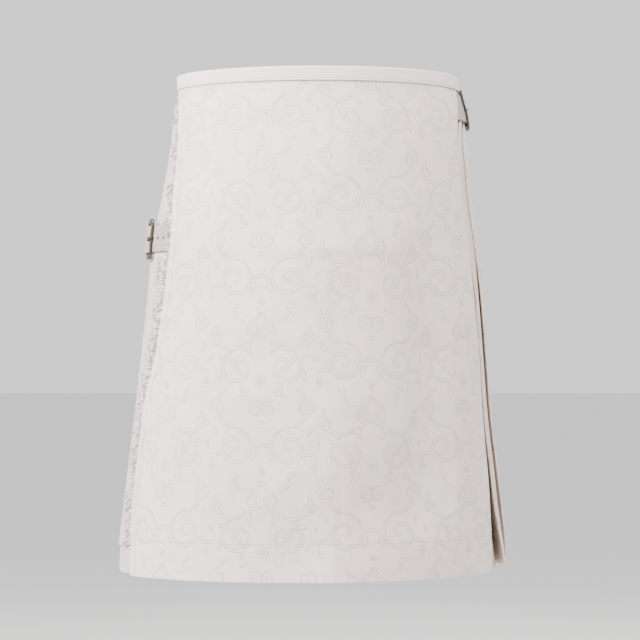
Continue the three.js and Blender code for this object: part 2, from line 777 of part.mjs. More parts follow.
// Materials
const CLOTH_FINISH = { color: 0xded9d4, roughness: 0.72, metalness: 0 };
const BAND_FINISH = { color: 0xd9d5d3, roughness: 0.75, metalness: 0 };
const FRINGE_FINISH = { color: 0xe4e1de, roughness: 0.8, metalness: 0 };
const STRAP_FINISH = { color: 0xd0cac4, roughness: 0.55, metalness: 0 };
const PEWTER_FINISH = { color: 0x54504c, roughness: 0.35, metalness: 0.9 };

const kilt = new THREE.Group();
kilt.name = 'kilt';

function addPiece(name, geometry, finish) {
  geometry.computeVertexNormals();
  const mesh = new THREE.Mesh(geometry, new THREE.MeshStandardMaterial(finish));
  mesh.name = name;
  kilt.add(mesh);
}

addPiece('waistband', waistband(), BAND_FINISH);
addPiece('over_apron', overApron(), CLOTH_FINISH);
addPiece('under_apron', underApron(), CLOTH_FINISH);
addPiece('pleats_right', pleats(0, 7), CLOTH_FINISH);
addPiece('pleats_back', pleats(8, 15), CLOTH_FINISH);
addPiece('pleats_left', pleats(16, PLEATS - 1), CLOTH_FINISH);
addPiece('fringe', fringe(), FRINGE_FINISH);

for (const fastening of FASTENINGS) {
  addPiece(`strap_${fastening.name}`, strap(fastening), STRAP_FINISH);
  addPiece(`buckle_${fastening.name}`, buckle(fastening), PEWTER_FINISH);
  addPiece(`prong_${fastening.name}`, prong(fastening), PEWTER_FINISH);
  addPiece(`tab_${fastening.name}`, tab(fastening), STRAP_FINISH);
}

export default kilt;
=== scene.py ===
"""A wrapped ivory kilt, filled out as it is worn, above a plain pale floor.

The body's ring is measured in millimetres here, and meshes are made in metres.
+Z is up, +X is the viewer's right, and the front faces -Y.
"""

import math

import bpy
import numpy as np
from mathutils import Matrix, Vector
from mathutils.geometry import delaunay_2d_cdt


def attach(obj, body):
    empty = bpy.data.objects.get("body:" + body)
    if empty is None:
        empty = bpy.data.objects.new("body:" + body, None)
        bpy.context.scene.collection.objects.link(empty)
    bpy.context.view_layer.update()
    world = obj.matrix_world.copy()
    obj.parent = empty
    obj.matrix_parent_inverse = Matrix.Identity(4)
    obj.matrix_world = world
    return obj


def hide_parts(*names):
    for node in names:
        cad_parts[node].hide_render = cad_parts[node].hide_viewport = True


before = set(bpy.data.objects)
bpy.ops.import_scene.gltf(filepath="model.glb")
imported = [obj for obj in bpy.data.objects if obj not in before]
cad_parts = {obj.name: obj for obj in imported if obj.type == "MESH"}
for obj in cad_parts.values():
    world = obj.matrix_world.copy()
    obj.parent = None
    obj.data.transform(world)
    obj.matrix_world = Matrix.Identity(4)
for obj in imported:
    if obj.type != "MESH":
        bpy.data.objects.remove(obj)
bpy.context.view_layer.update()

MM = 0.001
TURN = 2 * math.pi

# Camera
CAMERA_AT = (2.5, -2700, -323)
AIM_AT = (2.5, 0, -292)
LENS = 122.3
SENSOR = 36.0
FLOOR_Z = -1050

# Cloth and folds. The pleats are sewn shut above the fell and open below it.
SHELL = 0.9
LAYER_STEP = 1.6
CLOTH = 1.2
FELL = -207
CLOTH_TOP = 6.8
BAND_WALL = 1.2
BAND_CLEAR = 1.05
PLEATS = 24
BOX_PLEAT = 46
LAST_CREASE = 12
WIDER_AT_APRON = 0.55
OPENING_REACH = 380
FIRST_PLEATS_DEEPER = 0.7
DEEPEST_PLEAT = 1.5
DEEPER_PLEATS = 3
PRESSED_GAP = 0.1
UNPRESSED_FROM = FELL + 10
UNPRESSED_OVER = 50
PLEAT_SWELL = 1.92
SWELL_REACH = 250
APRON_HEM_LEFT = -599
APRON_HEM_RIGHT = -595
PLEAT_HEM_RIGHT = -592
PLEAT_HEM_LEFT = -570
UNDER_HEM = -568
UNDER_END = 44

# The aprons: how far out their edges lie, and where the over apron's soft folds begin and end
OVER_EDGE_OUT = 3.4
UNDER_EDGE_IN = -2.7
UNDER_IN = -13
EDGE_SETTLES = 120
UNDER_SETTLES = 150
FOLDS_BEGIN = 60
FOLDS_TOP = -40
FOLDS_END = 0.86
FOLDS_FADE = 0.1
APRON_FACE_END = 0.998

# Rows of points from hem to top, and columns in each stretch of cloth
CLOTH_ROWS = 96
APRON_COLUMNS = 170
APRON_TURN_COLUMNS = 12
BOX_COLUMNS = 6
BOX_END_COLUMNS = 4
FACE_COLUMNS = 8
INNER_COLUMNS = 3
UNDER_COLUMNS = 120
BAND_COLUMNS = 121

# The ring at each height: half sizes, main lines in degrees in front of the side, pleat depth
SECTION_NAMES = ("z", "left", "right", "front", "back", "edge_left", "edge_right", "first_crease", "depth")
SECTIONS = np.array(
    [
        (-600, 251, 236, 195, 206, 28, 27, 12.5, 16),
        (-500, 239, 226, 188.5, 199.5, 23.5, 24, 20, 14.5),
        (-410, 228, 215.5, 181, 193, 23.5, 22, 20, 13),
        (-330, 219, 210, 172, 186, 29, 21.5, 20, 11),
        (-260, 211.5, 204.5, 165, 179, 31, 22.5, 20.5, 8.5),
        (-207, 207, 199, 160, 172, 32, 23, 22.3, 6.4),
        (-145, 195, 190.5, 149, 155, 28, 23, 22.3, 6.4),
        (-85, 184.5, 185, 139, 138, 24.5, 23, 22.3, 6.4),
        (-42, 178.5, 180.5, 131, 128, 20.5, 18.5, 14.5, 6.4),
        (-9, 171, 172.5, 125, 120, 10.5, 9, 5.5, 6.4),
        (8.5, 170.5, 171, 124, 118, 8, 7, 3.5, 6.4),
    ]
)

# Soft troughs (negative) and ridges of the over apron: x and z of both ends, width and height
APRON_FOLDS = [
    (128, -215, 135, -316, 26, -6.5),
    (136, -344, 120, -520, 28, -6),
    (118, -480, -10, -560, 36, -4.5),
    (172, -300, 168, -560, 24, 3.5),
    (30, -400, 22, -590, 26, 2.5),
    (-60, -430, -70, -590, 40, -2.5),
    (-130, -150, -150, -420, 30, 2.5),
    (-60, -120, 60, -190, 50, 2),
    (-180, -219, 180, -222, 3.5, -1),
    (-180, -211, 180, -213, 8, 0.9),
    (95, -332, 190, -336, 6, -0.8),
    (152, -460, 156, -596, 5, -1.1),
    (26, -450, 27, -596, 4, -0.7),
    (-22, -480, -20, -596, 6, -0.7),
    (-120, -300, -60, -345, 9, -0.8),
    (-30, -255, 20, -300, 10, -0.9),
    (60, -225, 100, -262, 8, 0.9),
    (-70, -520, -30, -470, 9, 0.8),
    (60, -40, 20, -120, 24, 1.2),
    (-100, -250, -40, -330, 30, -1.2),
    (90, -60, 150, -160, 22, -1.2),
]

# The fringe, and the unfrayed end of its strip
FRINGE_TOP = -14
FRINGE_BOTTOM = -566
FRINGE_INSIDE = 14
FRINGE_OUTSIDE = 2
FRINGE_LENGTH = 25
FRINGE_LIFT = 4.4
FRINGE_DROOP = 7
LOCKS = 172
THREADS_IN_LOCK = 5
THREAD_PITCH = 0.42
THREAD_WALL = 0.36
THREAD_STEPS = 8
THREAD_SIDES = 5
THREAD_SHARP_EDGE = 180
STRIP_WALL = 0.8
STRIP_ROWS = 90
STRIP_COLUMNS = 5
TAB_END_TOP = -567
TAB_END_BOTTOM = -597
TAB_END_REACH = 38
TAB_END_ROUND = 9
TAB_END_ROWS = 9
TAB_END_COLUMNS = 19

# Straps, tabs and buckles
STRAP_WIDTH = 33
STRAP_WALL = 1.4
STRAP_LIFT = 1
STRAP_PROUD = 0.75
STRAP_TIP = 76
HOLE_RADIUS = 2.2
HOLE_PITCH = 14
HOLES_EACH_WAY = 3
LEATHER_BEVEL = 0.3
LEATHER_SPACING = 2.6
BUCKLE_LENGTH = 26.5
BUCKLE_HEIGHT = 50
BUCKLE_WALL = 3
BUCKLE_BAR_WALL = 1.6
BUCKLE_LIFT = 2.2
BUCKLE_FRONT = 5
BUCKLE_RAIL = 6.5
BUCKLE_BAR = 3.5
BUCKLE_CORNER = 6
BUCKLE_INNER_CORNER = 2
BUCKLE_SQUARED = 0.6
BUCKLE_SIDES = 16
PRONG_SIDES = 10
PRONG_SHARP_EDGE = 60
TAB_WIDTH = 30
TAB_WALL = 1
TAB_REACH = 50
SEAM = 0.3
LEAN_FADE = 25
# A belt is a strap with its tab and buckle: name, side, height, angle of the frame's front end in
# front of the side, strap's reach forward from there, and lean outwards for each millimetre up
BELTS = [
    ("waist_left", "left", -31, -12, 122, 0),
    ("waist_right", "right", -31, 4, 0, 0),
    ("hip_left", "left", -193, 14, 83, 0.1),
]


def smooth(value):
    part = np.clip(value, 0, 1)
    return part * part * (3 - 2 * part)


def mix(low, high, part):
    return low + (high - low) * part


# The ring, worked out once for every millimetre of height
Z_GRID = np.arange(-606.0, 13.0)
TURN_GRID = np.linspace(0, TURN, 1441)


def smooth_columns():
    """Every column of SECTIONS on the grid of heights, curving through its rows without overshoot"""
    heights = SECTIONS[:, 0]
    secants = np.diff(SECTIONS, axis=0) / np.diff(heights)[:, None]
    before, after = secants[:-1], secants[1:]
    together = before * after > 0
    inner = np.where(together, 2 * before * after / np.where(together, before + after, 1), 0)
    slopes = np.vstack([secants[:1], inner, secants[-1:]])
    z = np.clip(Z_GRID, heights[0], heights[-1])
    row = np.clip(np.searchsorted(heights, z, side="right") - 1, 0, len(heights) - 2)
    span = (heights[row + 1] - heights[row])[:, None]
    part = (z - heights[row])[:, None] / span
    rise = part * part * (3 - 2 * part)
    leave = part * (1 - part) ** 2 * span
    arrive = part * part * (part - 1) * span
    table = mix(SECTIONS[row], SECTIONS[row + 1], rise) + slopes[row] * leave + slopes[row + 1] * arrive
    return dict(zip(SECTION_NAMES, table.T))


COLUMNS = smooth_columns()


def at(name, z):
    return np.interp(z, Z_GRID, COLUMNS[name])


def on_ring(turn, z, out):
    """Across and deep of the ring's point at an angle, moved out along its normal"""
    along, side = np.cos(turn), np.sin(turn)
    across = np.where(along >= 0, at("right", z), at("left", z))
    deep = np.where(side >= 0, at("back", z), at("front", z))
    normal = np.hypot(along / across, side / deep)
    return across * along + out * along / across / normal, deep * side + out * side / deep / normal


def ring_tables():
    """Arc length by angle, and angle by arc length, a row for each height"""
    z, turn = np.meshgrid(Z_GRID, TURN_GRID, indexing="ij")
    x, y = on_ring(turn, z, 0)
    steps = np.hypot(np.diff(x, axis=1), np.diff(y, axis=1))
    arcs = np.hstack([np.zeros((len(Z_GRID), 1)), np.cumsum(steps, axis=1)])
    evenly = np.linspace(0, 1, len(TURN_GRID))
    turns = np.array([np.interp(evenly * row[-1], row, TURN_GRID) for row in arcs])
    return arcs, turns


ARCS, TURNS = ring_tables()


def look_up(table, z, part):
    """A table's value at a height and at a part, from 0 to 1, of its columns"""
    row = np.clip(z - Z_GRID[0], 0, len(Z_GRID) - 1.001)
    column = np.clip(part, 0, 1) * (table.shape[1] - 1)
    r = row.astype(int)
    c = np.minimum(column.astype(int), table.shape[1] - 2)
    up, right = row - r, column - c
    low = mix(table[r, c], table[r, c + 1], right)
    high = mix(table[r + 1, c], table[r + 1, c + 1], right)
    return mix(low, high, up)


def girth(z):
    return np.interp(z, Z_GRID, ARCS[:, -1])


def arc_at(turn, z):
    turn, z = np.broadcast_arrays(np.asarray(turn, float), np.asarray(z, float))
    turns = np.floor(turn / TURN)
    return turns * girth(z) + look_up(ARCS, z, turn / TURN - turns)


def place(arc, z, out):
    """Points in millimetres at arc lengths, heights and distances out from the ring"""
    arc, z, out = np.broadcast_arrays(np.asarray(arc, float), np.asarray(z, float), np.asarray(out, float))
    turns = np.floor(arc / girth(z))
    turn = look_up(TURNS, z, arc / girth(z) - turns)
    x, y = on_ring(turn, z, out)
    return np.stack([x, y, z], axis=-1)


# Arc lengths of the main lines, by height
def over_left(z):
    return arc_at(math.pi + np.radians(at("edge_left", z)), z) - girth(z)


def over_right(z):
    return arc_at(-np.radians(at("edge_right", z)), z)


def under_left(z):
    return over_left(z) + girth(z)


def last_crease(z):
    return arc_at(math.pi - math.radians(LAST_CREASE), z)


def fold_arc(number, z):
    """Number 0 is the over apron's edge, below it the box pleat, and 1 to PLEATS are the creases"""
    if number <= 0:
        return over_right(z) + number * BOX_PLEAT
    first = arc_at(-np.radians(at("first_crease", z)), z)
    part = (number - 1) / (PLEATS - 1)
    opened = smooth((FELL - z) / OPENING_REACH)
    warped = part + WIDER_AT_APRON * opened * part * (1 - part) ** 2
    return mix(first, last_crease(z), warped)


def fold_depth(number, z):
    opened = smooth((FELL - z) / OPENING_REACH) * max(0, 1 - abs(number - DEEPEST_PLEAT) / DEEPER_PLEATS)
    return at("depth", z) * (1 + FIRST_PLEATS_DEEPER * opened)


def under_crease(number, z):
    """How far in a face lies where it goes under the next crease: pressed close above the fell"""
    pressed = LAYER_STEP + SHELL + PRESSED_GAP
    return -mix(pressed, fold_depth(number, z) / 2, smooth((UNPRESSED_FROM - z) / UNPRESSED_OVER))


def box_fold(z):
    return under_crease(0, z)


def pleat_hem(number):
    return mix(PLEAT_HEM_RIGHT, PLEAT_HEM_LEFT, min(max(number / PLEATS, 0), 1))


def uneven(number, salt):
    """Repeatable unevenness between -1 and 1"""
    return math.sin(number * 12.9898 + salt * 78.233) * math.cos(number * 4.1414 + salt * 11.7)


# Sheets of cloth
def flush(z):
    """On the ring's own line at every height"""
    return 0 * z


def one_layer_in(z):
    return 0 * z - LAYER_STEP


class Sheet:
    """Columns of cloth, each with its hem height, its arc length and distance out from the ring as
    functions of height, and how much painted shade darkens it, from 0 to 1"""

    def __init__(self):
        self.columns = []
        self.deep = []

    # deep is painted shade: how far the column's colour is darkened towards the brown shade
    def add(self, hem, arc_of, out_of, deep=0):
        self.columns.append((hem, arc_of, out_of))
        self.deep.append(deep)

    def run(self, start, end, count, hem, swell=None, deep=(0, 0)):
        """Columns after start and up to end, each an (arc_of, out_of) pair, with an optional swell"""
        for step in range(1, count + 1):
            part = step / count

            def arc_of(z, part=part):
                return mix(start[0](z), end[0](z), part)

            def out_of(z, part=part):
                more = 4 * part * (1 - part) * swell(z) if swell else 0
                return mix(start[1](z), end[1](z), part) + more

            # The painted shade runs from the first to the second value of deep
            self.add(hem, arc_of, out_of, mix(*deep, part**3))

    def fold(self, number, inner_of, outer_of, way, hem):
        """The rounded edge of a crease. way is +1 or -1, the way that it points round the ring."""
        for quarter in (1, 2, 3):
            turn = math.pi * quarter / 4
            rise = (1 - math.cos(turn)) / 2

            def bent(z, turn=turn):
                return fold_arc(number, z) - way * LAYER_STEP / 2 * (1 - math.sin(turn))

            def out_of(z, rise=rise):
                return mix(inner_of(z), outer_of(z), rise)

            self.add(hem, bent, out_of)

    def points(self):
        """Rows from hem to top of columns of points"""
        grid = []
        for hem, arc_of, out_of in self.columns:
            z = mix(hem, CLOTH_TOP, np.linspace(0, 1, CLOTH_ROWS))
            grid.append(place(arc_of(z), z, out_of(z)))
        return np.stack(grid, axis=1)


def add_object(name, data):
    thing = bpy.data.objects.new(name, data)
    bpy.context.scene.collection.objects.link(thing)
    return thing


def mesh_object(name, points, faces, uvs=None, marks=None):
    """points in millimetres, uvs a pair for each point in metres, marks named values for each point"""
    mesh = bpy.data.meshes.new(name)
    mesh.from_pydata((np.asarray(points) * MM).tolist(), [], faces)
    if uvs is not None:
        corners = np.empty(len(mesh.loops), dtype=np.int32)
        mesh.loops.foreach_get("vertex_index", corners)
        layer = mesh.uv_layers.new(name="cloth")
        layer.data.foreach_set("uv", np.asarray(uvs, dtype=np.float32)[corners].ravel())
    for mark, values in (marks or {}).items():
        attribute = mesh.attributes.new(mark, "FLOAT", "POINT")
        attribute.data.foreach_set("value", np.asarray(values, dtype=np.float32).ravel())
    mesh.update()
    return add_object(name, mesh)


def grid_faces(rows, columns, closed=False):
    faces = []
    for row in range(rows - 1):
        for column in range(columns if closed else columns - 1):
            a = row * columns + column
            b = row * columns + (column + 1) % columns
            faces.append((a, b, b + columns, a + columns))
    return faces


# Degrees between faces above which an edge stays sharp
SHARP_EDGE = 50


def settle(piece, sharp=SHARP_EDGE):
    """Turns the modifiers into mesh, and shades it smooth between sharp edges"""
    depsgraph = bpy.context.evaluated_depsgraph_get()
    mesh = bpy.data.meshes.new_from_object(piece.evaluated_get(depsgraph))
    piece.modifiers.clear()
    piece.data = mesh
    mesh.polygons.foreach_set("use_smooth", [True] * len(mesh.polygons))
    mesh.set_sharp_from_angle(angle=math.radians(sharp))
    return piece


def thicken(piece, wall, bevel=0):
    solid = piece.modifiers.new("wall", "SOLIDIFY")
    solid.thickness = wall * MM
    solid.offset = 0
    solid.use_even_offset = False
    if bevel:
        edge = piece.modifiers.new("edge", "BEVEL")
        edge.width = bevel * MM
        edge.segments = 2
        edge.limit_method = "ANGLE"
        edge.angle_limit = math.radians(SHARP_EDGE)
    return settle(piece)


def finish_piece(piece, material, slot, *nodes):
    piece.data.materials.clear()
    piece.data.materials.append(material)
    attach(piece, "root")
    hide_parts(*nodes)
    return piece


def laid_flat(grid):
    """A grid's largest width and length in metres, and its area, up to their product"""
    width = float(max(run_lengths(row)[-1] for row in grid)) * MM
    length = float(max(run_lengths(column)[-1] for column in grid.transpose(1, 0, 2))) * MM
    a = grid[1:, 1:] - grid[:-1, :-1]
    b = grid[1:, :-1] - grid[:-1, 1:]
    area = float(np.linalg.norm(np.cross(a, b), axis=-1).sum() / 2 * MM * MM)
    return (width, length), min(area, width * length)


def run_lengths(line):
    return np.concatenate([[0], np.cumsum(np.linalg.norm(np.diff(line, axis=0), axis=1))])


def sheet_piece(name, grid, across=None, wall=SHELL, **more_marks):
    """A thin shell on a grid of points. across gives u in millimetres for each point or column."""
    rows, columns = grid.shape[:2]
    if across is None:
        across = run_lengths(grid[rows // 4])
    u = np.broadcast_to(across, (rows, columns))
    uvs = np.stack([u, grid[..., 2]], axis=-1) * MM
    marks = {"above_hem": grid[..., 2] - grid[0, :, 2]}
    for mark, values in more_marks.items():
        marks[mark] = np.broadcast_to(values, (rows, columns))
    piece = mesh_object(name, grid.reshape(-1, 3), grid_faces(rows, columns), uvs.reshape(-1, 2), marks)
    return thicken(piece, wall)


# The over apron
def apron_relief(x, z):
    height = 0
    for x0, z0, x1, z1, width, rise in APRON_FOLDS:
        run_x, run_z = x1 - x0, z1 - z0
        part = np.clip(((x - x0) * run_x + (z - z0) * run_z) / (run_x**2 + run_z**2), 0, 1)
        away = np.hypot(x - x0 - part * run_x, z - z0 - part * run_z)
        height = height + rise * np.exp(-((away / width) ** 2))
    return height


def over_out(part, z):
    left = over_left(z)
    arc = mix(left, fold_arc(0, z), part)
    from_edge = arc - left
    edge = OVER_EDGE_OUT * (1 - smooth(from_edge / EDGE_SETTLES))
    free = smooth(from_edge / FOLDS_BEGIN) * smooth((FOLDS_TOP - z) / FOLDS_BEGIN)
    x = place(arc, z, 0)[..., 0]
    settled = 1 - smooth((part - FOLDS_END) / FOLDS_FADE)
    return (edge + free * apron_relief(x, z)) * settled


def over_column(part):
    """Arc length and distance out, by height, at a part of the over apron's width"""

    def arc_of(z):
        return mix(over_left(z), fold_arc(0, z), part)

    def out_of(z):
        return over_out(part, z)

    return arc_of, out_of


def over_apron_sheet():
    sheet = Sheet()
    for column in range(APRON_COLUMNS):
        part = column / (APRON_COLUMNS - 1) * APRON_FACE_END
        sheet.add(mix(APRON_HEM_LEFT, APRON_HEM_RIGHT, part), *over_column(part))
    sheet.fold(0, flush, one_layer_in, 1, APRON_HEM_RIGHT)
    start = crease_line(0, one_layer_in, -LAYER_STEP / 2)
    end = crease_line(-1, lambda z: box_fold(z) + LAYER_STEP)
    sheet.run(start, end, APRON_TURN_COLUMNS, APRON_HEM_RIGHT)
    return sheet


# The pleats. Painted shade: behind the first few, at the open side, the cloth's colour is darkened where
# shade falls, and elsewhere less so, and the first faces are darkened a little too.
GAP_PLEATS = 3
INSIDE_PAINTED_SHADE = 0.2
FACE_PAINTED_SHADE = 0.35
FACE_PAINTED_SHADE_FADES = 0.12


def crease_line(number, out_of, ahead=0):
    """Arc length ahead of a crease, and distance out, by height"""
    return (lambda z: fold_arc(number, z) + ahead, out_of)


def under_line(number):
    return crease_line(number, lambda z: under_crease(number, z))


def deep_line(number, out=0):
    """The depth of the cloth hidden at a crease, or out from it"""
    return crease_line(number, lambda z: out - fold_depth(number, z))


def turned_edge(sheet, number, hem, dark=0, shaded=0):
    """Cloth that comes up from behind a crease and turns round its edge"""
    start = deep_line(number + 1, LAYER_STEP)
    end = crease_line(number, one_layer_in, LAYER_STEP / 2)
    # dark and shaded are painted shade: dark for the hidden cloth, shaded for the cloth at the crease
    sheet.add(hem, *start, dark)
    sheet.run(start, end, INNER_COLUMNS, hem, deep=(dark, shaded))
    sheet.fold(number, one_layer_in, flush, -1, hem)


def pleat_swell(number):
    """How far a face bulges between its creases, as a function of height"""
    wobble = 1 + 0.5 * uneven(number, 2)

    def swell(z):
        wave = 1 + 0.3 * np.sin(z / 70 + number * 2.1)
        return PLEAT_SWELL * smooth((FELL - z) / SWELL_REACH) * wobble * wave

    return swell


def box_pleat(sheet):
    hidden = crease_line(-1, box_fold)
    middle = crease_line(0, box_fold)
    # The whole box pleat is darkened with full painted shade
    sheet.add(pleat_hem(0), *hidden, 1)
    sheet.run(hidden, middle, BOX_COLUMNS, pleat_hem(0), deep=(1, 1))
    sheet.run(middle, under_line(1), FACE_COLUMNS, pleat_hem(0.5), deep=(1, 1))
    sheet.run(under_line(1), deep_line(2), BOX_END_COLUMNS, pleat_hem(1), deep=(1, 1))


def pleats_sheet(first, last):
    sheet = Sheet()
    if first == 0:
        box_pleat(sheet)
    for number in range(max(first, 1), last + 1):
        hem = pleat_hem(number)
        # Painted shade: shaded darkens the first faces, and dark darkens the hidden cloth behind them
        shaded = max(0, FACE_PAINTED_SHADE - FACE_PAINTED_SHADE_FADES * number)
        dark = 1 if number <= GAP_PLEATS else INSIDE_PAINTED_SHADE
        start = crease_line(number, flush, LAYER_STEP / 2)
        under = under_line(number + 1)
        turned_edge(sheet, number, hem, dark, shaded)
        sheet.add(hem, *start, shaded)
        sheet.run(start, under, FACE_COLUMNS, hem, pleat_swell(number), (shaded, shaded + 0.5 * dark))
        sheet.run(under, deep_line(number + 2), INNER_COLUMNS, hem, deep=(dark, dark))
    return sheet


# The under apron: the last pleat's face, the smooth strip at the viewer's left, and the panel
# that lies across the front under the over apron
def under_out(arc, z):
    edge = under_left(z)
    crease = last_crease(z)
    strip = UNDER_EDGE_IN * smooth((arc - crease) / (edge - crease))
    panel = mix(UNDER_EDGE_IN, UNDER_IN, smooth((arc - edge) / UNDER_SETTLES))
    return np.where(arc < edge, strip, panel)


def under_end(z):
    return arc_at(TURN - math.radians(UNDER_END), z)


def under_column(part, ahead=0):
    """Arc length and distance out, by height, at a part of the under apron past its crease"""

    def arc_of(z):
        return mix(last_crease(z) + ahead, under_end(z), part)

    def out_of(z):
        return under_out(arc_of(z), z)

    return arc_of, out_of


def under_apron_sheet():
    sheet = Sheet()
    turned_edge(sheet, PLEATS, UNDER_HEM)
    for column in range(UNDER_COLUMNS):
        sheet.add(UNDER_HEM, *under_column(column / (UNDER_COLUMNS - 1), LAYER_STEP / 2))
    return sheet


# The waistband: a strip folded over the top edge all along the wrap. Its profile's rows are the
# part of the way from outer to inner face, and the height.
BAND_FOLD_FROM = 0.92
BAND_PLEATS_TO = 0.05
BAND_PROFILE = [
    *[(0, z) for z in (-8.5, -8.2, -5, 0, 4.5, 6.6)],
    *[(0.07, 7.5), (0.22, 7.9), (0.5, 8.0), (0.78, 7.9), (0.93, 7.5)],
    *[(1, z) for z in (6.6, 4.5, 0, -5, -8.5)],
]


def behind_fold(z):
    return 0 * z - 2 * LAYER_STEP


def behind_pleats(z):
    return 0 * z - SECTIONS[-1, -1]


def band_stations():
    """Functions of height for each station's arc length, outer face and inner face"""
    stations = []
    parts = np.arange(BAND_COLUMNS) / (BAND_COLUMNS - 1)
    for part in parts:
        arc_of, out_of = over_column(part)
        stations.append((arc_of, out_of, behind_fold if part > BAND_FOLD_FROM else out_of))
    for quarter in range(4, 4 * PLEATS):
        stations.append((*crease_line(quarter / 4, flush), behind_pleats))
    for part in parts:
        arc_of, out_of = under_column(part)
        stations.append((arc_of, out_of, behind_pleats if part < BAND_PLEATS_TO else out_of))
    return stations


def waistband_grid():
    grid = []
    for arc_of, outer_of, inner_of in band_stations():
        line = []
        for part, z in BAND_PROFILE:
            height = np.array(float(z))
            outer = outer_of(height) + BAND_CLEAR + BAND_WALL / 2
            inner = inner_of(height) - BAND_CLEAR - BAND_WALL / 2
            line.append(place(arc_of(height), height, mix(outer, inner, part)))
        grid.append(line)
    return np.array(grid).transpose(1, 0, 2)


# The fringe: a strip sewn under the over apron's free edge, with its threads drawn out
def fringe_out(arc, z):
    return under_out(arc, z) + FRINGE_LIFT


def tube(points, radii, sides):
    """Corners and faces of a thin rod along points in millimetres"""
    points = np.asarray(points, float)
    along = np.gradient(points, axis=0)
    along /= np.linalg.norm(along, axis=1)[:, None]
    across = np.cross((0, 0, 1), along)
    across /= np.linalg.norm(across, axis=1)[:, None]
    up = np.cross(along, across)
    turns = TURN * np.arange(sides) / sides
    ring = across[:, None] * np.cos(turns)[None, :, None] + up[:, None] * np.sin(turns)[None, :, None]
    corners = (points[:, None] + ring * np.asarray(radii)[:, None, None]).reshape(-1, 3)
    faces = grid_faces(len(points), sides, True)
    faces.append(tuple(reversed(range(sides))))
    end = (len(points) - 1) * sides
    faces.append(tuple(range(end, end + sides)))
    return corners, faces


def strap_over_fringe(z):
    """1 where the hip strap lies over the fringe, and its threads are pressed short"""
    height = BELTS[2][2]
    return 1 - smooth((abs(z - height) - STRAP_WIDTH / 2 - 1) / 5)


def thread_line(number, root, z, length, droop):
    """Points along a thread, which draws near its lock's middle and droops and curls towards its end"""
    curl = 1.3 * uneven(number, 3)
    line = []
    for step in range(THREAD_STEPS + 1):
        along = step / THREAD_STEPS
        close = 1 - 0.35 * math.sin(math.pi * along)
        curled = curl * math.sin(along * 5 + number) * along
        low = root + (z - root) * close - droop * along**2 + curled
        arc = under_left(low) - FRINGE_OUTSIDE - length * along + 3 * (1 - along)
        lift = 1.1 * along * (1 + uneven(number, 4)) + 0.5 * math.sin(along * 7 + number * 1.7) * along
        line.append(place(arc, low, fringe_out(arc, low) + lift))
    return line


def fringe_threads():
    """Locks of a few threads each, with gaps between them"""
    corners, faces = [], []
    base = 0
    for lock in range(LOCKS):
        root = mix(FRINGE_BOTTOM, FRINGE_TOP - 2, lock / (LOCKS - 1)) + 0.8 * uneven(lock, 5)
        quiet = 1 - 0.3 * float(smooth((root + 190) / 60))
        lock_length = FRINGE_LENGTH * quiet * (1 + 0.1 * math.sin(lock * 0.71) + 0.16 * uneven(lock, 1))
        lock_droop = FRINGE_DROOP * (0.55 + 0.45 * math.sin(lock * 0.43)) + 3 * uneven(lock, 7)
        for thread in range(THREADS_IN_LOCK):
            number = lock * THREADS_IN_LOCK + thread
            z = root + (thread - THREADS_IN_LOCK // 2) * THREAD_PITCH
            pressed = 1 - 0.75 * float(strap_over_fringe(z))
            length = lock_length * (1 + 0.22 * uneven(number, 1)) * pressed
            line = thread_line(number, root, z, length, lock_droop + 1.6 * uneven(number, 8))
            thick = THREAD_WALL + 0.1 * uneven(number, 9)
            radii = [thick * (1.1 - 0.55 * step / THREAD_STEPS) for step in range(THREAD_STEPS + 1)]
            more, rings = tube(line, radii, THREAD_SIDES)
            corners.append(more)
            faces += [tuple(base + corner for corner in ring) for ring in rings]
            base += len(more)
    return mesh_object("fringe_threads", np.vstack(corners), faces)


def fringe_strip():
    z = np.linspace(TAB_END_BOTTOM + 1, FRINGE_TOP, STRIP_ROWS)
    out = UNDER_EDGE_IN + FRINGE_LIFT
    shifts = np.linspace(-FRINGE_OUTSIDE, FRINGE_INSIDE, STRIP_COLUMNS)
    return np.stack([place(under_left(z) + shift, z, out) for shift in shifts], axis=1)


def fringe_end():
    """The unfrayed lower end of the strip, with its corner rounded"""
    grid = []
    for row in range(TAB_END_ROWS):
        line = []
        for column in range(TAB_END_COLUMNS):
            along = mix(-FRINGE_INSIDE / 2, TAB_END_REACH, column / (TAB_END_COLUMNS - 1))
            rounding = max(0, along - TAB_END_REACH + TAB_END_ROUND) / TAB_END_ROUND
            lift = TAB_END_ROUND * (1 - math.sqrt(1 - min(rounding, 0.995) ** 2))
            z = mix(TAB_END_BOTTOM + lift, TAB_END_TOP - lift * 0.4, row / (TAB_END_ROWS - 1))
            arc = under_left(z) - along
            line.append(place(arc, z, fringe_out(arc, z) + 0.4 * math.sin(along * 0.12)))
        grid.append(line)
    return np.flip(np.array(grid), axis=1)


# Straps and buckles are laid out flat: along the strap, up, and out from the cloth
def on_body(belt, along, up, out):
    _, side, height, angle, _, lean = belt
    z = height + up
    out = out + CLOTH / 2 + STRAP_PROUD
    if side == "right":
        return place(arc_at(-math.radians(angle), height) + along, z, out)
    to_side = arc_at(math.pi + math.radians(angle), height) - arc_at(math.pi, height)
    arc = arc_at(math.pi, z) + to_side - along
    leaning = lean * (up + STRAP_WIDTH / 2) * smooth((along + LEAN_FADE) / LEAN_FADE)
    return place(arc, z, out + leaning + np.where(arc > last_crease(z), under_out(arc, z), 0))


OVER_BAR = BUCKLE_LIFT + BUCKLE_BAR_WALL + 3 * SEAM + TAB_WALL + STRAP_WALL / 2
BAR_START = BUCKLE_LENGTH - BUCKLE_BAR
HOLE_AT = (BUCKLE_FRONT + BAR_START) / 2


def slit_along(belt, up):
    """Where the right strap comes out, between the over apron's edge and the first pleat"""
    z = belt[2] + up
    return float(fold_arc(0, z) - arc_at(-math.radians(belt[3]), belt[2])) + 2.2


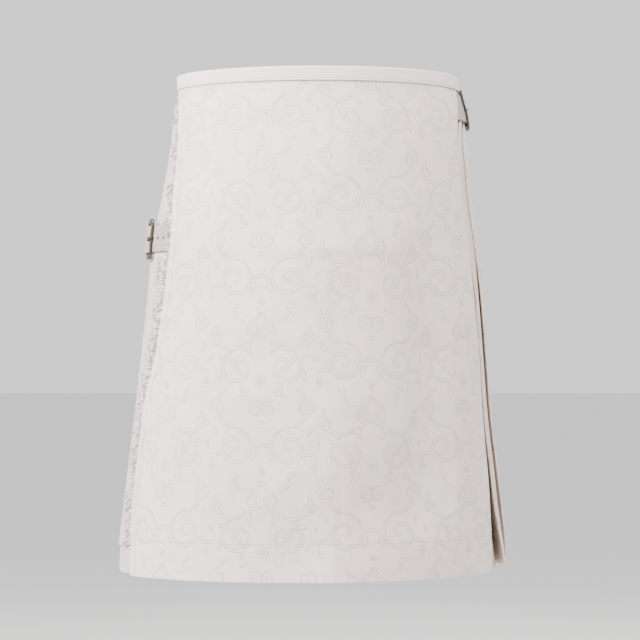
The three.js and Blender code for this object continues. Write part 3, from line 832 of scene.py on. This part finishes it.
def strap_path(belt):
    """Along and out of the middle of the strap's wall"""
    if belt[1] == "right":
        start = slit_along(belt, 0)
        path = [(start, -1.6), (start + 2, -0.9), (start + 5.5, STRAP_LIFT)]
    else:
        path = [(-belt[4], STRAP_LIFT)]
    path += [
        (BUCKLE_FRONT - 1.5, STRAP_LIFT),
        (BUCKLE_FRONT + 3, STRAP_LIFT + 0.9),
        (BAR_START - 6, OVER_BAR - 0.8),
        (BAR_START - 2.6, OVER_BAR),
        (BUCKLE_LENGTH + 2, OVER_BAR),
        (BUCKLE_LENGTH + 6, OVER_BAR - 0.6),
        (TAB_REACH - 4, 4.1),
        (TAB_REACH + 2, 2.1),
        (TAB_REACH + 12, STRAP_LIFT),
        (STRAP_TIP, STRAP_LIFT),
    ]
    return np.array(path, float)


def flat_triangles(outline, holes, spacing):
    """Triangles that fill a convex outline, with round holes (x, y, half length, half height) left out"""
    loops = [outline]
    for x, y, half_x, half_y in holes:
        turns = TURN * np.arange(16) / 16
        loops.append(np.stack([x + half_x * np.cos(turns), y + half_y * np.sin(turns)], axis=1))
    points, edges = [], []
    for loop in loops:
        first = len(points)
        points += [tuple(point) for point in loop]
        edges += [(first + i, first + (i + 1) % len(loop)) for i in range(len(loop))]

    def in_hole(x, y, grown):
        return any(((x - a) / (b + grown)) ** 2 + ((y - c) / (d + grown)) ** 2 < 1 for a, c, b, d in holes)

    run = np.roll(outline, -1, axis=0) - outline
    inwards = np.stack([-run[:, 1], run[:, 0]], axis=1) / np.linalg.norm(run, axis=1)[:, None]
    clear = spacing * 0.4
    low, high = outline.min(axis=0) + spacing / 2, outline.max(axis=0)
    for x in np.arange(low[0], high[0], spacing):
        for y in np.arange(low[1], high[1], spacing):
            inside = np.min(np.sum((np.array([x, y]) - outline) * inwards, axis=1))
            if inside > clear and not in_hole(x, y, clear):
                points.append((x, y))
    flat, _, triangles, *_ = delaunay_2d_cdt([Vector(point) for point in points], edges, [], 0, 1e-5)
    flat = np.array([tuple(point) for point in flat])
    kept = [tri for tri in triangles if not in_hole(*flat[list(tri)].mean(axis=0), 0)]
    return flat, kept


def leather_piece(kind, belt, path, outline, holes, wall, slant=0):
    """A leather strip. Its outline and holes are in lengths along the path, and up."""
    flat, triangles = flat_triangles(outline, holes, LEATHER_SPACING)
    lengths = run_lengths(path)
    along = np.interp(flat[:, 0], lengths, path[:, 0]) + slant * flat[:, 1] * (1 - smooth(flat[:, 0] / 12))
    out = np.interp(flat[:, 0], lengths, path[:, 1])
    points = on_body(belt, along, flat[:, 1], out)
    if belt[1] == "left":
        triangles = [tuple(reversed(triangle)) for triangle in triangles]
    half = np.abs(outline[:, 1]).max()
    marks = {"from_edge": half - np.abs(flat[:, 1])}
    piece = mesh_object(f"{kind}_{belt[0]}_leather", points, triangles, flat * MM, marks)
    return thicken(piece, wall, LEATHER_BEVEL)


def smooth_path(path, count):
    """Rounds a path's corners: even points along it, each the mean of those near it"""
    lengths = run_lengths(path)
    even = np.linspace(0, lengths[-1], count)
    points = np.stack([np.interp(even, lengths, path[:, axis]) for axis in (0, 1)], axis=1)
    for _ in range(3):
        inner = (points[:-2] + 2 * points[1:-1] + points[2:]) / 4
        points = np.vstack([points[:1], inner, points[-1:]])
    return points


def strap(belt):
    path = smooth_path(strap_path(belt), 80)
    lengths = run_lengths(path)
    end, half = lengths[-1], STRAP_WIDTH / 2
    steps = np.arange(0, end - 11, 3.0)
    lower = [(step, -half) for step in steps] + [(end - 10, -half), (end - 5, -half + 4.2), (end - 1, -8)]
    tip = [(end, -6.5), (end, 0), (end, 6.5)]
    upper = [(x, -y) for x, y in reversed(lower)]
    outline = np.array(lower + tip + upper)
    holes = []
    for hole in range(-HOLES_EACH_WAY, HOLES_EACH_WAY + 1):
        along = HOLE_AT + hole * HOLE_PITCH
        if along > path[0, 0] + 12:
            longer, taller = (1.9, 1.4) if hole == 0 else (1, 1)
            middle = float(np.interp(along, path[:, 0], lengths))
            holes.append((middle, 0.0, HOLE_RADIUS * longer, HOLE_RADIUS * taller))
    slant = 0
    if belt[1] == "right":
        slant = (slit_along(belt, half) - slit_along(belt, -half)) / STRAP_WIDTH
    return leather_piece("strap", belt, path, outline, holes, STRAP_WALL, slant)


def tab(belt):
    """The loop of leather that holds the frame by its bar"""
    under = BUCKLE_LIFT - SEAM - TAB_WALL / 2
    over = BUCKLE_LIFT + BUCKLE_BAR_WALL + SEAM + TAB_WALL / 2
    radius = (over - under) / 2
    front = BAR_START - SEAM - TAB_WALL / 2
    low = SEAM + TAB_WALL / 2
    path = [(TAB_REACH, low), (BUCKLE_LENGTH + 8, low), (BUCKLE_LENGTH + 2, under), (front + radius, under)]
    for step in range(1, 8):
        turn = math.pi * step / 8
        path.append((front + radius * (1 - math.sin(turn)), under + radius * (1 - math.cos(turn))))
    path += [(front + radius, over), (BUCKLE_LENGTH + 2, over), (TAB_REACH - 2, low + TAB_WALL + SEAM)]
    path = np.array(path)
    end, half = run_lengths(path)[-1], TAB_WIDTH / 2
    steps = np.append(np.arange(0, end, 3.0), end)
    outline = np.array([(step, -half) for step in steps] + [(step, half) for step in steps[::-1]])
    return leather_piece("tab", belt, path, outline, [], TAB_WALL)


def rounded_rectangle(x0, y0, x1, y1, radius):
    """The same number of points, corner by corner, whatever the size"""
    left, low, right, high = x0 + radius, y0 + radius, x1 - radius, y1 - radius
    arcs = []
    for x, y, start in ((right, low, -90), (right, high, 0), (left, high, 90), (left, low, 180)):
        turns = np.radians(start + np.linspace(0, 90, 9))
        arcs.append(np.stack([x + radius * np.cos(turns), y + radius * np.sin(turns)], axis=1))
    loop = []
    for arc, ahead in zip(arcs, arcs[1:] + arcs[:1]):
        loop += [arc, mix(arc[-1], ahead[0], np.linspace(0, 1, 12)[1:-1, None])]
    return np.vstack(loop)


def squared(value):
    return math.copysign(abs(value) ** BUCKLE_SQUARED, value)


def buckle(belt):
    half = BUCKLE_HEIGHT / 2
    outer = rounded_rectangle(0, -half, BUCKLE_LENGTH, half, BUCKLE_CORNER)
    inside = half - BUCKLE_RAIL
    inner = rounded_rectangle(BUCKLE_FRONT, -inside, BAR_START, inside, BUCKLE_INNER_CORNER)
    middle = (inner + outer) / 2
    at_bar = smooth((middle[:, 0] - BAR_START + 1) / 2) * smooth((inside - 1 - np.abs(middle[:, 1])) / 3)
    corners = []
    for turn in TURN * np.arange(BUCKLE_SIDES) / BUCKLE_SIDES:
        flat = mix(inner, outer, (squared(math.cos(turn)) + 1) / 2)
        out = BUCKLE_LIFT + mix(BUCKLE_WALL, BUCKLE_BAR_WALL, at_bar) / 2 * (1 + squared(math.sin(turn)))
        corners.append(on_body(belt, flat[:, 0], flat[:, 1], out))
    points = np.stack(corners, axis=1)
    faces = []
    for station in range(len(outer)):
        here = station * BUCKLE_SIDES
        ahead = (station + 1) % len(outer) * BUCKLE_SIDES
        for side in range(BUCKLE_SIDES):
            over = (side + 1) % BUCKLE_SIDES
            faces.append((here + side, ahead + side, ahead + over, here + over))
    if belt[1] == "left":
        faces = [tuple(reversed(face)) for face in faces]
    return settle(mesh_object(f"buckle_{belt[0]}_cast", points.reshape(-1, 3), faces))


def prong(belt):
    top = BUCKLE_LIFT + BUCKLE_WALL + SEAM + 0.8
    root = (BAR_START - 2 * SEAM - TAB_WALL - 0.2, BUCKLE_LIFT + 1)
    through = [(HOLE_AT + 4, BUCKLE_LIFT + 1.2), (HOLE_AT - 3.5, top - 0.3)]
    path = smooth_path(np.array([root, *through, (BUCKLE_FRONT, top), (-1, top)]), 24)
    line = np.stack([path[:, 0], np.zeros(len(path)), path[:, 1]], axis=1)
    radii = np.linspace(1.05, 0.8, len(path))
    radii[-2:] = (0.62, 0.3)
    corners, faces = tube(line, radii, PRONG_SIDES)
    points = on_body(belt, corners[:, 0], corners[:, 1], corners[:, 2])
    if belt[1] == "right":
        faces = [tuple(reversed(face)) for face in faces]
    return settle(mesh_object(f"prong_{belt[0]}_cast", points, faces), PRONG_SHARP_EDGE)


# Materials
def operator(operation):
    def work_out(self, *others):
        return self.graph.math(operation, self, *others)

    return work_out


class Value:
    """A number that the shader nodes work out, with ordinary arithmetic"""

    __add__ = operator("ADD")
    __sub__ = operator("SUBTRACT")
    __mul__ = operator("MULTIPLY")
    __truediv__ = operator("DIVIDE")
    __abs__ = operator("ABSOLUTE")

    def __init__(self, graph, socket):
        self.graph = graph
        self.socket = socket


class Graph:
    def __init__(self, name, base, roughness, **constants):
        self.material = bpy.data.materials.new(name)
        self.material.use_nodes = True
        self.tree = self.material.node_tree
        self.shader = self.tree.nodes["Principled BSDF"]
        self.set("Base Color", (*base, 1))
        self.set("Roughness", roughness)
        for socket, value in constants.items():
            self.set(socket.replace("_", " "), value)

    def set(self, socket, value):
        self.feed(value, self.shader.inputs[socket])

    def feed(self, value, socket):
        if isinstance(value, Value):
            self.tree.links.new(value.socket, socket)
        else:
            socket.default_value = value

    def node(self, kind, inputs, output=0, **settings):
        """The output of a new node. Its inputs are values or numbers, by the socket's number or name."""
        node = self.tree.nodes.new(kind)
        for setting, value in settings.items():
            setattr(node, setting, value)
        for socket, value in inputs.items():
            self.feed(value, node.inputs[socket])
        return Value(self, node.outputs[output])

    def math(self, operation, *values):
        return self.node("ShaderNodeMath", dict(enumerate(values)), operation=operation)

    def step(self, value, low, high):
        """0 below low, 1 above high and smooth between"""
        return self.node("ShaderNodeMapRange", {0: value, 1: low, 2: high}, interpolation_type="SMOOTHSTEP")

    def near(self, value, centre, close, far):
        """1 where a value is within close of a centre, 0 beyond far and smooth between"""
        return self.step(abs(value - centre), far, close)

    def dashes(self, along, pitch, gap, sharp):
        """Dashes of a pitch, 0 in their gaps and 1 past gap + sharp"""
        return self.step(self.math("WRAP", along, pitch, 0.0), gap, gap + sharp)

    def across_and_up(self):
        """The flat cloth's coordinates in millimetres"""
        flat = self.node("ShaderNodeUVMap", {}, uv_map="cloth")
        return [self.node("ShaderNodeSeparateXYZ", {0: flat}, axis) * 1000 for axis in (0, 1)]

    def vector(self, x, y):
        return self.node("ShaderNodeCombineXYZ", {0: x, 1: y})

    def mark(self, name):
        return self.node("ShaderNodeAttribute", {}, "Fac", attribute_name=name)

    def object_place(self):
        return self.node("ShaderNodeTexCoord", {}, "Object")

    def noise(self, scale, detail, place=None):
        """Noise of a size in repeats for each metre, or for each unit of a place that is given"""
        inputs = {"Vector": place or self.object_place(), "Scale": scale, "Detail": detail}
        return self.node("ShaderNodeTexNoise", inputs)

    def colour(self, part, low, high):
        first, last = (shade if isinstance(shade, Value) else (*shade, 1) for shade in (low, high))
        return self.node("ShaderNodeMix", {0: part, 6: first, 7: last}, 2, data_type="RGBA")

    def bump(self, height, distance, strength=1.0, before=None):
        """Raised by up to distance in millimetres where height is 1"""
        inputs = {"Strength": strength, "Distance": distance * MM, "Height": height}
        if before is not None:
            inputs["Normal"] = before
        return self.node("ShaderNodeBump", inputs)


# The woven pattern: scrolls, leaves and flowers in a mirrored tile, laid out in millimetres
TILE_WIDTH = 130
TILE_HEIGHT = 197
SCROLL_HALF = 1.5
# x, y, outer radius, distance between turns, starting turn, way round
SPIRALS = [
    (31, 50, 23, 15, 0.10, 1),
    (37, 143, 21, 14, 0.62, -1),
    (9, 96, 10, 8, 0.20, -1),
    (57, 95, 9, 7.5, 0.35, 1),
    (56, 186, 9, 7.5, 0.80, 1),
    (9, 176, 8, 7, 0.55, 1),
]
# x, y, radius, middle direction and half spread in degrees
BOWS = [
    (36, 97, 25, 185, 62),
    (58, 66, 14, 350, 85),
    (12, 126, 30, 35, 52),
    (28, 184, 20, 235, 75),
    (62, 166, 12, 150, 70),
    (12, 20, 22, 95, 55),
    (48, 14, 16, 265, 80),
]
# x, y, direction in degrees, half length, half width
LEAVES = [
    (55, 40, 65, 7, 2.4),
    (8, 68, 115, 6, 2.2),
    (44, 112, 30, 6, 2.2),
    (14, 134, 80, 7, 2.4),
    (47, 168, 130, 6, 2.4),
    (30, 18, 150, 6, 2.2),
]
# x, y, radius, petals
FLOWERS = [(0, 28, 8, 8), (65, 126, 8, 8), (65, 22, 4, 6), (0, 152, 4, 6)]


def polar(graph, u, v, x, y):
    across, up = u - x, v - y
    reach = graph.math("SQRT", across * across + up * up)
    return reach, graph.math("ARCTAN2", up, across)


def pattern_edge(graph, u, v):
    """Distance in millimetres from the edges of the figures, below zero inside them"""
    column = graph.math("FLOOR", u / TILE_WIDTH)
    shifted = v + graph.math("MODULO", abs(column), 2.0) * (TILE_HEIGHT / 2)
    y = graph.math("WRAP", shifted, float(TILE_HEIGHT), 0.0)
    x = abs(graph.math("WRAP", u, TILE_WIDTH / 2, -TILE_WIDTH / 2))
    edges = []
    for centre_x, centre_y, radius, pitch, start, way in SPIRALS:
        reach, angle = polar(graph, x, y, centre_x, centre_y)
        turns = reach / pitch - angle * (way / TURN) + start
        line = abs(graph.math("FRACT", turns + 8.0) - 0.5) * pitch
        edges.append(graph.math("MAXIMUM", line - SCROLL_HALF, reach - radius))
    for centre_x, centre_y, radius, middle, spread in BOWS:
        reach, angle = polar(graph, x, y, centre_x, centre_y)
        aside = abs(graph.math("WRAP", angle - math.radians(middle), math.pi, -math.pi))
        beyond = (aside - math.radians(spread)) * radius
        edges.append(graph.math("MAXIMUM", abs(reach - radius) - SCROLL_HALF, beyond))
    for centre_x, centre_y, direction, length, width in LEAVES:
        cos, sin = math.cos(math.radians(direction)), math.sin(math.radians(direction))
        across, up = x - centre_x, y - centre_y
        along = (across * cos + up * sin) / length
        edges.append(abs(up * cos - across * sin) + along * along * width - width)
    for centre_x, centre_y, radius, petals in FLOWERS:
        reach, angle = polar(graph, x, y, centre_x, centre_y)
        petal = graph.math("COSINE", angle * petals) * (0.2 * radius)
        eye = abs(reach - 0.3 * radius) * -1.0 + 1.0
        edges.append(graph.math("MAXIMUM", reach - 0.8 * radius - petal, eye))
    least = edges[0]
    for edge in edges[1:]:
        least = graph.math("MINIMUM", least, edge)
    return least


# Colours
CLOTH_GROUND = (0.70, 0.60, 0.545)
CLOTH_FIGURE = (0.76, 0.68, 0.635)
CLOTH_OUTLINE = (0.47, 0.41, 0.395)
# Painted shade: a darker, greyer ground and figure for the under apron and the fringe's strip
PAINTED_SHADE_GROUND = (0.52, 0.48, 0.47)
PAINTED_SHADE_FIGURE = (0.57, 0.535, 0.525)
# Painted shade: the brown that darkens the box pleat, the cloth behind the first pleats and their faces
PAINTED_PLEAT_SHADE = (0.36, 0.245, 0.165)
BAND_SHADE = (0.72, 0.655, 0.62)
FRINGE_SHADE = (0.80, 0.77, 0.765)
# Painted shadow: the dark patches among the fringe's threads
FRINGE_PAINTED_SHADOW = (0.30, 0.265, 0.285)
LEATHER_SHADE = (0.30, 0.265, 0.235)
LEATHER_WORN = (0.36, 0.32, 0.285)
LEATHER_EDGE = (0.16, 0.125, 0.10)
LEATHER_THREAD = (0.50, 0.47, 0.44)
PEWTER_SHADE = (0.075, 0.067, 0.06)
PEWTER_WORN = (0.13, 0.115, 0.10)

# Sewn and pressed lines: heights and distances from edges in millimetres
HEM_SEAM = 43.0
PRESSED_LINE = 11.0
BAND_SEAM = -6.3
STRAP_SEAM = 2.6


def weave(graph, u, v, across, along):
    """Height of a twill weave with ribs of these sizes in millimetres"""
    return graph.math("SINE", (u + v) * (TURN / across)) * graph.math("SINE", (u - v) * (TURN / along))


def cloth_material(name, patterned=True, ground=CLOTH_GROUND, figured=CLOTH_FIGURE):
    graph = Graph(name, ground, 0.62, Sheen_Weight=0.25, Sheen_Roughness=0.4, Specular_IOR_Level=0.35)
    u, v = graph.across_and_up()
    shade = graph.colour(graph.noise(9, 3), ground, figured)
    along = graph.step(graph.noise(1, 3, graph.vector(u * 0.5, v * 0.045)), 0.62, 0.74)
    across = graph.step(graph.noise(1, 3, graph.vector(u * 0.03, v * 0.6)), 0.63, 0.75)
    slubs = graph.math("MAXIMUM", along, across)
    shade = graph.colour(slubs * 0.35, shade, figured)
    normal = graph.bump(slubs, 0.14, before=graph.bump(weave(graph, u, v, 0.9, 2.6), 0.035))
    if patterned:
        edge = pattern_edge(graph, u, v)
        figure = graph.step(edge, 0.4, -0.4)
        outline = graph.near(edge, 0, 0.3, 1.1)
        shade = graph.colour(figure * 0.8, shade, figured)
        shade = graph.colour(outline * 0.68, shade, CLOTH_OUTLINE)
        graph.set("Roughness", graph.math("SUBTRACT", 0.66, figure * 0.14))
        normal = graph.bump(figure * 0.5 - outline, 0.2, before=normal)
    hem = graph.near(graph.mark("above_hem"), HEM_SEAM, 0.2, 0.7)
    stitches = hem * (graph.dashes(u, 4.0, 1.2, 0.4) * 0.7 + 0.3)
    shade = graph.colour(stitches * 0.35, shade, CLOTH_OUTLINE)
    pressed = graph.near(graph.mark("from_free_edge"), PRESSED_LINE, 0.2, 0.9)
    shade = graph.colour(pressed * 0.25, shade, CLOTH_OUTLINE)
    # Painted shade: the deep mark darkens the pleats' colour towards the brown shade
    graph.set("Base Color", graph.colour(graph.mark("deep"), shade, PAINTED_PLEAT_SHADE))
    normal = graph.bump(graph.math("MAXIMUM", stitches, pressed), -0.5, before=normal)
    normal = graph.bump(graph.noise(60, 3), 0.35, 0.6, before=normal)
    graph.set("Normal", graph.bump(graph.noise(14, 2), 6, before=normal))
    return graph.material


def band_material():
    graph = Graph("band_cloth", BAND_SHADE, 0.65, Sheen_Weight=0.2, Specular_IOR_Level=0.3)
    u, v = graph.across_and_up()
    seam = graph.near(v, BAND_SEAM, 0.15, 0.5) * graph.dashes(u, 3.2, 0.9, 0.3)
    graph.set("Base Color", graph.colour(seam * 0.35, BAND_SHADE, CLOTH_OUTLINE))
    rib = weave(graph, u, v, 0.8, 1.6)
    graph.set("Normal", graph.bump(seam, -0.4, before=graph.bump(rib, 0.03)))
    return graph.material


def fringe_material():
    graph = Graph("fringe_wool", FRINGE_SHADE, 0.8, Sheen_Weight=0.3)
    # Painted shadow: noise patches darken the threads, where 0 is full painted shadow and 1 is the thread's
    # own colour
    painted_shade_mottling = graph.step(graph.noise(110, 3), 0.40, 0.58)
    graph.set("Base Color", graph.colour(painted_shade_mottling, FRINGE_PAINTED_SHADOW, FRINGE_SHADE))
    graph.set("Normal", graph.bump(graph.noise(900, 3), 0.15))
    return graph.material


def leather_material():
    graph = Graph("strap_leather", LEATHER_SHADE, 0.5, Specular_IOR_Level=0.4)
    u, _ = graph.across_and_up()
    edge = graph.mark("from_edge")
    line = graph.near(edge, STRAP_SEAM, 0.2, 0.5)
    stitches = line * graph.dashes(u, 3.4, 0.9, 0.3)
    worn = graph.colour(graph.noise(120, 3), LEATHER_SHADE, LEATHER_WORN)
    dark = graph.colour(graph.step(edge, 0.7, 0.1) * 0.5, worn, LEATHER_EDGE)
    graph.set("Base Color", graph.colour(stitches * 0.8, dark, LEATHER_THREAD))
    grain = graph.node("ShaderNodeTexVoronoi", {"Vector": graph.object_place(), "Scale": 900}, "Distance")
    normal = graph.bump(grain, 0.12, 0.6)
    normal = graph.bump(line, -0.25, before=normal)
    graph.set("Normal", graph.bump(stitches, 0.3, before=normal))
    return graph.material


def pewter_material():
    graph = Graph("cast_pewter", PEWTER_SHADE, 0.34, Metallic=0.9)
    patches = graph.noise(180, 4)
    graph.set("Base Color", graph.colour(patches, PEWTER_SHADE, PEWTER_WORN))
    graph.set("Roughness", patches * 0.25 + 0.24)
    graph.set("Normal", graph.bump(graph.noise(700, 2), 0.04))
    return graph.material


# The pieces
PLEAT_WIDTHS = (("pleats_right", 0, 7), ("pleats_back", 8, 15), ("pleats_left", 16, PLEATS - 1))


def build_kilt():
    # Painted shade: a darker, greyer, unpatterned copy of the cloth for the under apron and the fringe's
    # strip, which lie in shade
    shaded = cloth_material("shaded_ivory", False, PAINTED_SHADE_GROUND, PAINTED_SHADE_FIGURE)
    woven = cloth_material("woven_ivory")
    fringe_look = fringe_material()
    leather = leather_material()
    pewter = pewter_material()
    sheets = []

    def cloth(name, grid, material, slot, node, held="hung", rests_on=("waistband_cloth",), **more):
        piece = finish_piece(sheet_piece(name, grid, **more), material, slot, node)
        sheets.append((piece, grid, held, list(rests_on)))

    # The over apron's pattern is centred across the front at every height
    apron = over_apron_sheet().points()
    lengths = np.array([run_lengths(row) for row in apron])
    z = apron[:, :1, 2]
    across = lengths + over_left(z) - arc_at(-math.pi / 2, z)
    cloth("over_apron_cloth", apron, woven, "cloth", "over_apron", across=across, from_free_edge=lengths)
    for name, first, last in PLEAT_WIDTHS:
        sheet = pleats_sheet(first, last)
        # The deep mark carries the pleats' painted shade
        cloth(f"{name}_cloth", sheet.points(), woven, "cloth", name, "folded", deep=sheet.deep)
    cloth("under_apron_cloth", under_apron_sheet().points(), shaded, "cloth", "under_apron")
    grid = waistband_grid()
    across = run_lengths(grid[0])
    cloth("waistband_cloth", grid, band_material(), "band", "waistband", "folded", [], across=across)
    for name, grid in (("fringe_strip", fringe_strip()), ("fringe_end", fringe_end())):
        cloth(name, grid, shaded, "fringe", "fringe", rests_on=["over_apron_cloth"], wall=STRIP_WALL)
    threads = finish_piece(settle(fringe_threads(), THREAD_SHARP_EDGE), fringe_look, "fringe", "fringe")

    for belt in BELTS:
        for kind, make in (("strap", strap), ("tab", tab)):
            finish_piece(make(belt), leather, "strap", f"{kind}_{belt[0]}")
        for kind, make in (("buckle", buckle), ("prong", prong)):
            finish_piece(make(belt), pewter, "pewter", f"{kind}_{belt[0]}")

    for piece, grid, held, rests_on in sheets:
        flat, area = laid_flat(grid)


# Light, floor and camera
LAMP_SHADE = (1, 0.93, 0.885)
WORLD_STRENGTH = 1.2
FLOOR_HALF = 30
FLOOR_SHADE = (0.78, 0.78, 0.78)
# name, place and aim in metres, width in metres, watts
LIGHTS = [
    ("key", (-1.3, -0.7, 0.8), (0, -0.1, -0.15), 0.9, 125),
    ("top", (0.5, -0.8, 0.9), (0, -0.1, -0.1), 0.6, 30),
    ("back", (0.4, 2.4, 1.4), (0, 0, -0.3), 1.6, 60),
]


def turn_towards(thing, aim):
    thing.rotation_euler = (Vector(aim) - thing.location).to_track_quat("-Z", "Y").to_euler()


def soft_light(name, place_at, aim, size, watts):
    light = bpy.data.lights.new(name, "AREA")
    light.shape = "SQUARE"
    light.size = size
    light.energy = watts
    light.color = LAMP_SHADE
    lamp = add_object(name, light)
    lamp.location = place_at
    turn_towards(lamp, aim)


def build_studio():
    world = bpy.data.worlds.new("studio")
    world.use_nodes = True
    sky = world.node_tree.nodes["Background"]
    sky.inputs["Color"].default_value = (1, 1, 1, 1)
    sky.inputs["Strength"].default_value = WORLD_STRENGTH
    bpy.context.scene.world = world

    corners = np.array([(-1, -1, 0), (1, -1, 0), (1, 1, 0), (-1, 1, 0)]) * FLOOR_HALF
    floor = mesh_object("floor", corners / MM, [(0, 1, 2, 3)])
    floor.location.z = FLOOR_Z * MM
    pale = Graph("pale_floor", FLOOR_SHADE, 0.8)
    floor.data.materials.append(pale.material)

    for light in LIGHTS:
        soft_light(*light)

    camera = bpy.data.cameras.new("camera")
    camera.sensor_width = SENSOR
    camera.lens = LENS
    view = add_object("camera", camera)
    view.location = Vector(CAMERA_AT) * MM
    turn_towards(view, Vector(AIM_AT) * MM)
    bpy.context.scene.camera = view


build_kilt()
build_studio()
